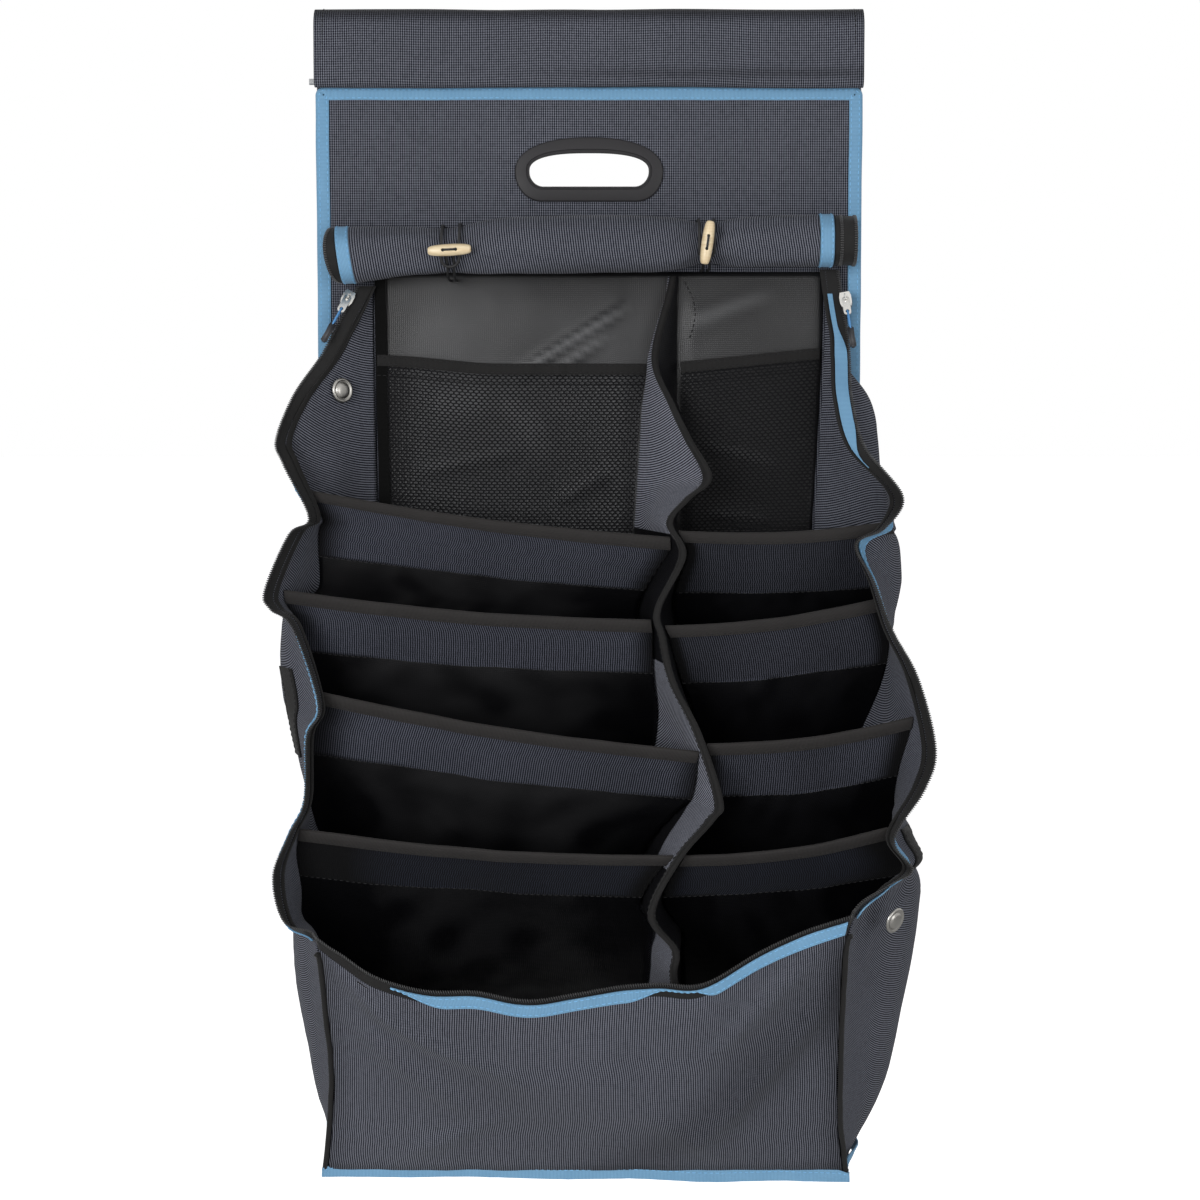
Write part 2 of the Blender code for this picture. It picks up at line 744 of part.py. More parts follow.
LEFT = Gusset(-1, SEAM_LEFT, LEFT_EDGE, LEFT_CORNER)
RIGHT = Gusset(1, SEAM_RIGHT, RIGHT_EDGE, RIGHT_CORNER)
WALLS = {"left": LEFT, "right": RIGHT}


def zip_profile():
    tape = BAND / 2
    coil = COIL * 0.47
    return [
        (ZIP_GAP, -tape),
        (ZIP_TAPE - COIL, -tape),
        (ZIP_TAPE - COIL, -coil),
        (ZIP_TAPE, -coil),
        (ZIP_TAPE, coil),
        (ZIP_TAPE - COIL, coil),
        (ZIP_TAPE - COIL, tape),
        (ZIP_GAP, tape),
    ]


def gusset_zip(name, wall):
    frames = [wall.frame(index) for index in range(wall.corner)]
    (before, *_), (last, across, out) = frames[-2:]
    frames[-1] = (last.lerp(before, 0.25), across, out)
    sweep(name, frames, zip_profile(), BLACK_BAND)


def gusset_trim(name, wall, first):
    """Blue band on the outer face, along the cloth's front edge."""
    offset = CANVAS / 2 + ZIP_GAP + BAND / 2
    frames = []
    for index in range(first, wall.corner - 1):
        origin, across, out = wall.frame(index, behind=0.0001, turned_out=False)
        frames.append((origin + out * offset, across, out))
    sweep(name, frames, strip(BAND, -TRIM_WIDTH, 0.0), BLUE_BAND)


def build_gussets():
    LEFT.cloth("gusset_left")
    RIGHT.cloth("gusset_right")
    gusset_zip("zip_left", LEFT)
    gusset_zip("zip_right", RIGHT)
    gusset_trim("trim_left", LEFT, 5 * FOLD_STEPS)
    gusset_trim("trim_right", RIGHT, 7 * FOLD_STEPS)
    frames = []
    offset = BAND / 2 + SEAM_GAP + BAND / 2
    for index in range(2 * FOLD_STEPS, 5 * FOLD_STEPS + 1):
        origin, across, out = RIGHT.frame(index)
        frames.append((origin - out * offset, across, out))
    sweep("trim_right_upper", frames, strip(BAND, 0.0, ZIP_TAPE - COIL - GAP), BLUE_BAND)


# Front panel with its piping, zip half and trim


class FrontPanel:
    """The front wall between the two lower gusset edges, with a drooping top edge and soft folds."""

    def __init__(self):
        self.seams = []
        for wall in (LEFT, RIGHT):
            self.seams.append([wall.point(row, 1.0) for row in wall.rows[wall.corner :]])

    def seam(self, which, v):
        """The piping's centre on one side, at a share of the panel's height from its top."""
        points = self.seams[which]
        z = points[0].z + (points[-1].z - points[0].z) * v
        for upper, lower in zip(points, points[1:]):
            if z >= lower.z - 1e-9:
                return upper.lerp(lower, (z - upper.z) / (lower.z - upper.z))
        return points[-1]

    def fold(self, u, v):
        """How far the cloth stands forward of the flat panel."""
        middle = math.sin(math.pi * u)
        crown = FRONT_BULGE * middle * math.sin(math.pi * min(v * 0.9 + 0.08, 1.0))
        slant = math.sin(2 * math.pi * (1.4 * u - 1.1 * v + 0.1)) * math.sin(math.pi * v)
        return crown + FRONT_FOLD * slant * middle

    def point(self, u, v, down=0.0):
        left = self.seam(0, v)
        right = self.seam(1, v)
        place = left.lerp(right, u)
        place.z -= lookup(FRONT_DROOP, u)[0] * (1 - v) + down * (1 - v)
        place.y -= self.fold(u, v)
        return place

    def span(self, steps):
        inset = (PIPING_RADIUS + GAP + CANVAS / 2) / PANEL_WIDTH
        return [inset + (1 - 2 * inset) * i / steps for i in range(steps + 1)]


FRONT = FrontPanel()


def front_panel():
    rows = []
    for i in range(FRONT_ROWS + 1):
        rows.append([FRONT.point(u, i / FRONT_ROWS, ZIP_TAPE) for u in FRONT.span(FRONT_COLUMNS)])
    sheet("front_panel", rows, CANVAS, CANVAS_CLOTH)

    edge = [FRONT.point(u, 0.0, ZIP_TAPE) for u in FRONT.span(FRONT_COLUMNS)]
    below = [FRONT.point(u, 0.06, ZIP_TAPE) for u in FRONT.span(FRONT_COLUMNS)]
    across = [(a - b).normalized() for a, b in zip(edge, below)]
    out = [Vector((0, -1, 0)) - n * n.dot(Vector((0, -1, 0))) for n in across]
    out = [n.normalized() for n in out]
    sweep("zip_front", list(zip(edge, across, out)), zip_profile(), BLACK_BAND)
    offset = CANVAS / 2 + SEAM_GAP + BAND / 2
    frames = [(e + n * offset, a, n) for e, a, n in zip(edge, across, out)][1:-1]
    sweep("trim_front", frames, strip(BAND, -TRIM_WIDTH, 0.0), BLUE_BAND)

    for name, wall in (("piping_left", LEFT), ("piping_right", RIGHT)):
        points = [wall.point(row, 1.0) for row in wall.rows[wall.corner :]]
        points[-1] = points[-1] + UP * GAP
        points[0] = points[0] - UP * ZIP_TAPE / 2
        tube(name, points, PIPING_RADIUS, BLACK_BAND)


def bottom():
    """The bottom board follows the lowest row of both gussets, and a band is sewn round its edge."""
    back = -PANEL_FACE - GAP
    foot = []
    rise = []
    for wall, order in ((LEFT, 1), (RIGHT, -1)):
        shares = [t / 6 for t in range(7)][::order]
        low, high = wall.rows[-1], wall.rows[-2]
        for t in shares:
            spot = wall.point(low, t)
            spot.x += wall.side * CANVAS / 2
            spot.y = min(spot.y, back) if t else back
            foot.append(Vector((spot.x, spot.y, PANEL_FOOT)))
            rise.append((wall.point(high, t) - wall.point(low, t)).normalized())
    made = plate("bottom_panel", [[(spot.x, spot.y) for spot in foot]], BOARD, CANVAS_CLOTH)
    made.rotation_euler = (0, 0, 0)
    made.location.z = PANEL_FOOT + BOARD / 2

    foot[0] = foot[0].lerp(foot[1], 0.3)
    foot[-1] = foot[-1].lerp(foot[-2], 0.3)
    frames = []
    for i, spot in enumerate(foot):
        first = (spot - foot[i - 1]).normalized() if i else (foot[1] - spot).normalized()
        second = (foot[i + 1] - spot).normalized() if i < len(foot) - 1 else first
        along = (first + second).normalized()
        out = along.cross(UP)
        if out.dot(spot - Vector((0, -BAG_DEPTH / 4, PANEL_FOOT))) < 0:
            out.negate()
        mitre = 1 / max(abs(out.dot(first.cross(UP).normalized())), 0.5)
        step = out * mitre * (SEAM_GAP + BAND)
        frames.append((spot + step, rise[i], out * mitre))
    sweep("bottom_binding", frames, strip(BAND, 0.0, BOTTOM_BAND), BLUE_BAND)


# Centre divider and the pocket dividers


def centre_divider():
    front = surface_of(bpy.data.objects["front_panel"])
    rows = []
    columns = 3
    for share, depth, sway in smooth(CENTRE_EDGE, FOLD_STEPS):
        z = BAG_TOP - BAG_HEIGHT * share + (BOARD + GAP if share > 0.999 else 0.0)
        back = Vector((COLUMN_SPLIT, -PANEL_FACE - GAP - LINING - SEAM_GAP, z))
        edge = Vector((COLUMN_SPLIT + sway, -depth * BAG_DEPTH, z))
        hit = front.ray_cast(Vector((edge.x, back.y, z)), Vector((0, -1, 0)))[0]
        if hit:
            edge.y = max(edge.y, hit.y + SEAM_GAP + CANVAS / 2)
        rows.append([back.lerp(edge, i / (columns - 1)) for i in range(columns)])
    sheet("centre_divider", rows, CANVAS, LINING_CLOTH)


def divider(name, side, shares, walls):
    """A pocket wall that slopes from its bound top edge down to the back wall."""
    outer_share, inner_share, low_share = shares
    gusset = LEFT if side < 0 else RIGHT
    edge_row = min(gusset.rows, key=lambda row: abs(row[0] - outer_share))
    centre_row = min(smooth(CENTRE_EDGE, FOLD_STEPS), key=lambda row: abs(row[0] - inner_share))
    setback = DIVIDER_SETBACK + ZIP_TAPE * math.cos(math.radians(edge_row[4]))
    outer_y = -edge_row[1] * BAG_DEPTH + setback
    inner_y = -centre_row[1] * BAG_DEPTH + DIVIDER_SETBACK
    low_z = BAG_TOP - BAG_HEIGHT * low_share
    fall = BAG_HEIGHT * (low_share - outer_share)
    run = -outer_y - PANEL_FACE + math.pi * DIVIDER_BELLY
    low_y = -PANEL_FACE - GAP - CANVAS / 2 * fall / math.hypot(fall, run)
    seam_y = -PANEL_FACE - LINING - 2 * SEAM_GAP
    middle_x = COLUMN_SPLIT + side * (SEAM_RIGHT - COLUMN_SPLIT) / 2
    rows = []
    for s in DIVIDER_ROWS:
        ends = []
        for y, share, tree, way in (
            (outer_y, outer_share, walls["outer"], side),
            (inner_y, inner_share, walls["centre"], -side),
        ):
            top_z = BAG_TOP - BAG_HEIGHT * share
            spot = Vector((middle_x, y + (low_y - y) * s, top_z + (low_z - top_z) * s))
            spot.y -= DIVIDER_BELLY * math.sin(math.pi * s)
            reach = math.inf
            for rise in (-DIVIDER_PROBE, 0.0, DIVIDER_PROBE):
                eye = Vector((spot.x, min(spot.y, seam_y), spot.z + rise))
                reach = min(reach, tree.ray_cast(eye, Vector((way, 0, 0)))[0].x * way)
            reach *= way
            ends.append(Vector((reach - way * DIVIDER_GAP, spot.y, spot.z)))
        rows.append([ends[0], ends[0].lerp(ends[1], 0.5), ends[1]])
    sheet(name, rows, CANVAS, LINING_CLOTH, round(RIM_ROWS), RIM_THICKNESS / CANVAS)


def dividers():
    centre = surface_of(bpy.data.objects["centre_divider"])
    for side, word, table in ((-1, "left", LEFT_DIVIDERS), (1, "right", RIGHT_DIVIDERS)):
        outer = surface_of(bpy.data.objects["gusset_" + word])
        for number, shares in enumerate(table, 1):
            walls = {"outer": outer, "centre": centre}
            divider(f"divider_{word}_{number}", side, shares, walls)


# Net pockets with their hem bands


def net_pocket(word, low_x, high_x):
    """A flat net sewn at its sides and foot, standing off the wall in the middle of its hem."""
    top = BAG_TOP - NET_DROP
    rest = -(PANEL_FACE + GAP + LINING + GAP + NET_STRAND / 2)

    def stand(u, v):
        return rest - NET_OFF * math.sin(math.pi * u) * math.cos(math.pi * v / 2)

    width = high_x - low_x
    across = round(width / NET_PITCH)
    down = round(NET_HEIGHT / NET_PITCH)
    bm = bmesh.new()
    bmesh.ops.create_grid(bm, x_segments=across, y_segments=down, size=0.5)
    for vert in bm.verts:
        u = vert.co.x + 0.5
        v = 0.5 - vert.co.y
        vert.co = (low_x + width * u, stand(u, v), top - NET_HEIGHT * v)
    net = add("net_" + word, mesh_of(bm, "net"), NET_YARN)
    strands = net.modifiers.new("strands", "WIREFRAME")
    strands.thickness = NET_STRAND
    strands.use_even_offset = False
    strands.use_boundary = True

    rows = []
    for z in (top + GAP + NET_STRAND / 2 + HEM_HEIGHT, top + GAP + NET_STRAND / 2):
        steps = [i / 8 for i in range(9)]
        rows.append([Vector((low_x + width * u, stand(u, 0.0), z)) for u in steps])
    sheet("net_hem_" + word, rows, BAND, BLACK_BAND)


def net_pockets():
    clear = 2 * CANVAS + NET_STRAND
    net_pocket("left", -SEAM_LEFT + clear, COLUMN_SPLIT - clear)
    net_pocket("right", COLUMN_SPLIT + clear, SEAM_RIGHT - clear)


# Rolled cover with its end strips and rolled zip tapes


def roll_at(x):
    """Centre and radius of the roll: (y, z, radius)."""
    first, last = ROLL[0], ROLL[-1]
    drop, radius = lookup(ROLL, min(max(x, first[0]), last[0]))
    return -(PANEL_FACE + ROLL_STANDOFF + radius), -drop, radius


def roll_section(x, shrink):
    """Outer and inner points of the rolled cloth at one place along the roll."""
    cy, cz, radius = roll_at(x)
    radius -= shrink
    half = ROLL_LAYER / 2
    height = cz + radius - half
    tail = -(PANEL_FACE + GAP + shrink)
    outer = [Vector((x, tail, height + half))]
    inner = [Vector((x, tail, height - half))]
    for i in range(int(ROLL_TURNS * ROLL_SIDES) + 1):
        angle = 2 * math.pi * i / ROLL_SIDES
        middle = radius - half - ROLL_PITCH * i / ROLL_SIDES
        for points, r in ((outer, middle + half), (inner, middle - half)):
            points.append(Vector((x, cy - r * math.sin(angle), cz + r * math.cos(angle))))
    return outer, inner


def rolled(name, places, material, shrink=0.0):
    sections = [roll_section(x, shrink) for x in places]
    slab(name, [outer for outer, _ in sections], [inner for _, inner in sections], material)
    return sections


def cover():
    places = [x for x, _, _ in ROLL]
    sections = rolled("cover_roll", places, CANVAS_CLOTH)
    left, right = places[0] - GAP, places[-1] + GAP
    rolled("roll_trim_left", [left - ROLL_TRIM, left], BLUE_BAND)
    rolled("roll_trim_right", [right, right + ROLL_TRIM], BLUE_BAND)
    left -= ROLL_TRIM + GAP
    right += ROLL_TRIM + GAP
    rolled("roll_zip_left", [left - ROLL_ZIP_LEFT, left], BLACK_BAND, BAND + GAP)
    rolled("roll_zip_right", [right, right + ROLL_ZIP_RIGHT], BLACK_BAND, BAND + GAP)
    turn = ROLL_SIDES
    least = min(
        (a - b).length
        for outer, inner in sections
        for a, b in zip(outer[1 + turn :], inner[1:-turn])
    )
    print(f"least gap between the turns of the roll: {least * 1000:.2f} mm")


# Elastic loops, toggle cords and toggles


def round_roll(x, angle, off):
    """A point over the roll: the angle runs from its top forwards and down, in degrees."""
    cy, cz, radius = roll_at(x)
    a = math.radians(angle)
    r = radius + off
    return Vector((x, cy - r * math.sin(a), cz + r * math.cos(a)))


def toggle_set(word):
    share, lean, spread = TOGGLES[word]
    x = share * PANEL_WIDTH / 2
    tail = -(PANEL_FACE + SEAM_GAP)
    near = GAP * 2 + CORD_RADIUS
    proud = near + CORD_RADIUS + GAP + ELASTIC_RADIUS
    half = spread / 2
    _, _, radius = roll_at(x)

    strand = []
    for angle in range(0, 106, 15):
        rise = min(max((angle - 30) / 45, 0.0), 1.0)
        off = GAP * 2 + ELASTIC_RADIUS + (proud - GAP * 2 - ELASTIC_RADIUS) * rise
        strand.append((angle, off))
    left = [round_roll(x - half, a, off) for a, off in strand]
    right = [round_roll(x + half, a, off) for a, off in strand]
    bight = []
    last = strand[-1][0]
    for step in range(1, 6):
        phi = math.pi * step / 6
        more = math.degrees(half * math.sin(phi) / (radius + proud))
        bight.append(round_roll(x - half * math.cos(phi), last + more, proud))
    start = Vector((left[0].x, tail, left[0].z))
    end = Vector((right[0].x, tail, right[0].z))
    path = [start] + left + bight + right[::-1] + [end]
    tube("elastic_" + word, path, ELASTIC_RADIUS, ELASTIC)

    centre_off = proud + ELASTIC_RADIUS + GAP + TOGGLE_RADIUS
    foremost = min(round_roll(at, 90, centre_off).y for at in (x - half, x, x + half))
    centre = Vector((x, foremost, roll_at(x)[1]))
    cross = centre.y + TOGGLE_RADIUS + GAP + CORD_RADIUS
    strands = []
    for at in (x - TOGGLE_STRANDS / 2, x + TOGGLE_STRANDS / 2):
        rise = [round_roll(at, angle, near) for angle in range(180, 106, -15)]
        low = Vector((at, tail, rise[0].z))
        strands.append([low, *rise, Vector((at, cross, centre.z))])
    tube("toggle_cord_" + word, strands[0] + strands[1][::-1], CORD_RADIUS, ELASTIC)

    h = TOGGLE_LENGTH / 2
    upper = [(TOGGLE_RADIUS * across, h * up) for across, up in TOGGLE_SHAPE]
    lower = [(across, -up) for across, up in upper[-2::-1]]
    profile = [(0.0, h), *upper, *lower, (0.0, -h)]
    toggle = turned("toggle_" + word, profile, WOOD, 16)
    toggle.location = centre
    print(f"toggle_{word}: centre {tuple(round(v, 4) for v in centre)}")
    toggle.rotation_euler = (0, math.radians(90 - lean), 0)
    bm = bmesh.new()
    for z in (-TOGGLE_HOLE_PITCH / 2, TOGGLE_HOLE_PITCH / 2):
        made = bmesh.ops.create_cone(
            bm, cap_ends=True, segments=10, radius1=TOGGLE_HOLE, radius2=TOGGLE_HOLE, depth=TOGGLE_LENGTH
        )
        bmesh.ops.rotate(bm, verts=made["verts"], matrix=ACROSS_Y)
        bmesh.ops.translate(bm, verts=made["verts"], vec=(0, 0, z))
    holes = add(f"toggle_{word}_holes", mesh_of(bm, "holes"), None, CUTTERS)
    holes.location = toggle.location
    holes.rotation_euler = toggle.rotation_euler
    combine(toggle, holes, "DIFFERENCE")


# Zip sliders with their pulls


def slider_set(word, wall):
    """A slider round the top of the coil, a tab in its bridge and a cord with a grip on the tab."""
    first, across, _ = wall.frame(0)
    second = wall.frame(FOLD_STEPS)[0]
    along = (second - first).normalized()
    side = (across - along * across.dot(along)).normalized()
    front = along.cross(side)
    if front.y > 0:
        front.negate()
    web = SLIDER_WEB
    coil = first + across * (ZIP_TAPE - COIL / 2)
    centre = coil + along * (SLIDER_LENGTH / 2) + side * (COIL / 2 + GAP * 2 + web)

    h = SLIDER_CHANNEL / 2
    f = h + SLIDER_PLATE
    w = SLIDER_WIDTH / 2
    frames = []
    for place, scale in SLIDER_SHAPE:
        frames.append((centre + along * SLIDER_LENGTH * place, side * scale, front))
    profile = [(-w, -f), (w, -f), (w, -h), (web, -h), (web, h), (w, h)]
    profile += [(w, f), (-w, f), (-w, h), (-web, h), (-web, -h), (-w, -h)]
    body = sweep("slider_" + word, frames, profile, METAL)
    low = f - BRIDGE_WIRE
    high = f + BRIDGE_REACH
    bend = high - BRIDGE_ROUND
    bridge = [
        centre + front * rise + along * run
        for rise, run in (
            (low, -BRIDGE_BACK),
            (bend, -BRIDGE_BACK),
            (high, -BRIDGE_BACK + BRIDGE_ROUND),
            (high, BRIDGE_FRONT - BRIDGE_ROUND),
            (bend, BRIDGE_FRONT),
            (low, BRIDGE_FRONT),
        )
    ]
    combine(body, as_mesh(tube("bridge_" + word, bridge, BRIDGE_WIRE, METAL)), "UNION")

    pivot = centre + front * (f + TAB_THICKNESS) - along * (BRIDGE_BACK - BRIDGE_FRONT) / 2
    turn = Matrix((side, -along, front)).transposed().to_4x4()
    if turn.determinant() < 0:
        turn = Matrix((-side, -along, front)).transposed().to_4x4()
    lean = Matrix.Rotation(math.radians(-PULL_LEAN), 4, "X")
    place = Matrix.Translation(pivot) @ turn @ lean
    middle = TAB_TOP - TAB_LENGTH / 2
    edge = rounded(TAB_WIDTH, TAB_LENGTH, TAB_WIDTH * 0.4, TAB_WIDTH * 0.35, 4, cz=middle)
    eye = rounded(*TAB_EYE, TAB_EYE[0] * 0.46, TAB_EYE[0] * 0.46, 3, cz=-TAB_EYE_DROP)
    low_eye = TAB_TOP - TAB_LENGTH + CORD_EYE
    cord_eye = rounded(CORD_EYE, CORD_EYE, CORD_EYE * 0.48, CORD_EYE * 0.48, 3, cz=low_eye)
    tab = plate("pull_tab_" + word, [edge, eye, cord_eye], TAB_THICKNESS, METAL)
    tab.matrix_world = place

    cord = PULL_CORD
    out = TAB_THICKNESS / 2 + GAP + cord
    grip_top = low_eye - PULL_CORD_LENGTH
    inside = grip_top - GRIP_BEVEL
    half = [(out, inside), (out, low_eye - CORD_EYE), (out * 0.9, low_eye - cord)]
    path = half + [(0.0, low_eye)] + [(-z, y) for z, y in reversed(half)]
    loop = tube("pull_cord_" + word, [Vector((0, y, z)) for z, y in path], cord, BLUE_CORD)
    loop = as_mesh(loop)
    bm = bmesh.new()
    bmesh.ops.create_cube(bm, size=1.0)
    bmesh.ops.scale(bm, vec=(GRIP_SECTION[0], GRIP_LENGTH, GRIP_SECTION[1]), verts=bm.verts)
    bmesh.ops.bevel(bm, geom=bm.edges, offset=GRIP_BEVEL, segments=1, affect="EDGES")
    grip = add("grip_" + word, mesh_of(bm, "grip"), None)
    grip.location = (0, grip_top - GRIP_LENGTH / 2, 0)
    combine(loop, grip, "UNION")
    for made in (loop, grip):
        made.matrix_world = place @ Matrix.Translation(made.location)
    print(f"slider_{word}: along {tuple(round(v, 4) for v in along)}")
    print(f"pull_tab_{word}: pivot {tuple(round(v, 4) for v in pivot)}")
    print(f"pull_tab_{word}: axis {tuple(round(v, 4) for v in along.cross(front))}")


# Press studs and side webbing


def stud(name, word, share, t, inward):
    """A press stud on a gusset's face, lifted until its rim clears the cloth."""
    wall = WALLS[word]
    row = min(wall.rows, key=lambda r: abs(r[0] - share))
    index = wall.rows.index(row)
    spot = wall.point(row, t)
    across = wall.point(row, t + 0.05) - wall.point(row, t - 0.05)
    down = wall.point(wall.rows[index + 1], t) - wall.point(wall.rows[index - 1], t)
    out = across.cross(down).normalized()
    if out.x * wall.side < 0:
        out.negate()
    if inward:
        out.negate()
    turn = out.to_track_quat("Z", "Y")
    cloth = surface_of(bpy.data.objects[f"gusset_{word}"])
    lift = 0.0
    for r in (0.0, STUD_RADIUS / 2, STUD_RADIUS):
        for step in range(24):
            a = math.pi * step / 12
            above = spot + turn @ Vector((r * math.cos(a), r * math.sin(a), STUD_RADIUS))
            reach = cloth.ray_cast(above, -out)[3]
            if reach:
                lift = max(lift, STUD_RADIUS - reach)
    profile = [(0.0, STUD_HEIGHT)]
    profile += [(STUD_RADIUS * across, STUD_HEIGHT * up) for across, up in STUD_SHAPE]
    profile.append((0.0, 0.0))
    made = turned(name, profile, METAL, 20)
    made.location = spot + out * (lift + 2 * GAP)
    made.rotation_euler = turn.to_euler()


def webbing(name, word, first_share, last_share, behind):
    """A band on a gusset's outer face between two heights."""
    wall = WALLS[word]
    indices = [i for i, row in enumerate(wall.rows) if first_share <= row[0] <= last_share]
    lift = CANVAS / 2 + SEAM_GAP + BAND
    front = []
    back = []
    for i in indices:
        rows = []
        for d in (behind, behind + WEBBING_WIDTH / 2, behind + WEBBING_WIDTH):
            origin, _, out = wall.frame(i, behind=d, turned_out=False)
            rows.append((origin, out))
        front.append([origin + out * (lift + BAND) for origin, out in rows])
        back.append([origin + out * (lift - BAND) for origin, out in rows])
    slab(name, front, back, BLACK_BAND)


build_gussets()
back_panel()
panel_binding()
back_lining()
handle()
sleeve()
front_panel()
bottom()
centre_divider()
dividers()
net_pockets()
cover()
for word, wall in WALLS.items():
    toggle_set(word)
    slider_set(word, wall)
for name, place in STUDS.items():
    stud(name, *place)
for name, place in WEBBING.items():
    webbing(name, *place)
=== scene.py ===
"""The look of the tent organizer: cloth with its folds, bands, zips, nets and fittings."""

import math

import bmesh
import bpy
from mathutils import Matrix, Vector, noise


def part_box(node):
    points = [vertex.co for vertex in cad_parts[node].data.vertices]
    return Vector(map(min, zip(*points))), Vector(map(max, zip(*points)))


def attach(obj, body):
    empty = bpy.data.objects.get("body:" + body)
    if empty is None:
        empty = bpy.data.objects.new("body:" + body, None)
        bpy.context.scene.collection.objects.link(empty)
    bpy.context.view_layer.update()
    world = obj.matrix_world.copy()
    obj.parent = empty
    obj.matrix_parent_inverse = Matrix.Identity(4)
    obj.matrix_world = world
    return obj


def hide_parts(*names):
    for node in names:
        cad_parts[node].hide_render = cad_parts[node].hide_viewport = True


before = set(bpy.data.objects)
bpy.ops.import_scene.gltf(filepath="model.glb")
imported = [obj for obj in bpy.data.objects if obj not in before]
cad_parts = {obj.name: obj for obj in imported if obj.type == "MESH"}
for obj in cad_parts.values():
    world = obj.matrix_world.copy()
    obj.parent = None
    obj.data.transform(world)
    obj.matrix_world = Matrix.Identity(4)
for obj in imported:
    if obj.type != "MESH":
        bpy.data.objects.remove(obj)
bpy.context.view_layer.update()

CAD = {name: bpy.data.objects[name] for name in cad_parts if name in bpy.data.objects}
UP = Vector((0, 0, 1))

# Sizes shared with the part, in metres
CANVAS = 0.0014
PANEL_FACE = 0.0015
PANEL_WIDTH = 0.436
PANEL_TOP = -0.046
PANEL_FOOT = -0.905
BAG_TOP = -0.210
BAG_HEIGHT = 0.695
BAG_DEPTH = 0.195
COLUMN_SPLIT = 0.055
ZIP_TAPE = 0.012
HANDLE_Z = -0.1105
HANDLE_FLANGE = (0.119, 0.051)
HANDLE_SLOT = (0.096, 0.027)
NET_DROP = 0.062
NET_HEIGHT = 0.185
TOGGLE_LENGTH = 0.034
TOGGLE_RADIUS = 0.0047
ELASTIC_RADIUS = 0.0012
CORD_RADIUS = 0.0010
GAP = 0.0003
HALF_CLOTH = 0.0008
STRIP = 0.0015
WALL_BACK = -PANEL_FACE - 0.0017
FOOT_LIFT = 0.0033
EDGE_INSET = 0.0031
FORWARD = Vector((0, -1, 0))

# Where the cords run: behind the roll, and off its surface under and over one another
CORD_TAIL = -PANEL_FACE - 0.0009
CORD_OFF = 0.0016
FLAT_OFF = 0.0006 + ELASTIC_RADIUS
PROUD = CORD_OFF + CORD_RADIUS + GAP + ELASTIC_RADIUS
TAUT = {"far_end": "object", "lay": "taut"}

# Edges of the walls, top to bottom: share of the bag's height, share of its depth, how far
# the edge splays from the panel's side, the wall's belly in metres, turn of the zip in degrees
LEFT_EDGE = [
    (-0.009, 0.060, -0.043, 0.000, 85),
    (0.000, 0.070, -0.040, 0.000, 85),
    (0.025, 0.094, -0.031, 0.000, 85),
    (0.050, 0.118, -0.022, 0.000, 85),
    (0.075, 0.142, -0.013, 0.000, 85),
    (0.122, 0.290, 0.013, 0.000, 50),
    (0.167, 0.385, 0.027, 0.000, 20),
    (0.194, 0.420, 0.020, 0.002, 0),
    (0.253, 0.470, -0.001, 0.012, 0),
    (0.271, 0.500, 0.014, 0.010, 0),
    (0.331, 0.615, 0.030, 0.014, 0),
    (0.351, 0.645, 0.025, 0.034, 0),
    (0.371, 0.680, 0.007, 0.052, 0),
    (0.453, 0.775, -0.015, 0.062, 0),
    (0.486, 0.810, -0.006, 0.052, 0),
    (0.554, 0.860, -0.005, 0.040, 0),
    (0.588, 0.900, 0.006, 0.026, 0),
    (0.633, 0.935, 0.017, 0.018, 0),
    (0.685, 0.975, 0.008, 0.034, 0),
    (0.705, 1.000, -0.016, 0.052, 0),
    (0.778, 0.870, -0.019, 0.055, 0),
    (0.878, 0.720, -0.020, 0.046, 0),
    (1.000, 0.513, -0.009, 0.018, 0),
]
RIGHT_EDGE = [
    (-0.028, 0.060, -0.030, 0.002, 80),
    (0.000, 0.070, -0.027, 0.004, 80),
    (0.025, 0.098, -0.024, 0.004, 80),
    (0.050, 0.126, -0.021, 0.004, 80),
    (0.075, 0.154, -0.021, 0.010, 80),
    (0.122, 0.250, -0.021, 0.033, 80),
    (0.178, 0.335, -0.010, 0.037, 70),
    (0.230, 0.420, 0.026, 0.028, 30),
    (0.265, 0.460, 0.012, 0.040, 0),
    (0.283, 0.490, -0.011, 0.057, 0),
    (0.325, 0.575, 0.002, 0.054, 0),
    (0.374, 0.655, 0.014, 0.042, 0),
    (0.424, 0.730, 0.032, 0.022, 0),
    (0.498, 0.800, 0.044, 0.010, 0),
    (0.541, 0.845, 0.035, 0.026, 0),
    (0.593, 0.895, 0.011, 0.050, 0),
    (0.626, 0.930, 0.024, 0.054, 0),
    (0.647, 0.965, 0.004, 0.064, 0),
    (0.683, 1.000, -0.023, 0.080, 0),
    (0.790, 0.860, -0.026, 0.072, 0),
    (0.924, 0.640, -0.022, 0.050, 0),
    (1.000, 0.513, -0.014, 0.024, 0),
]
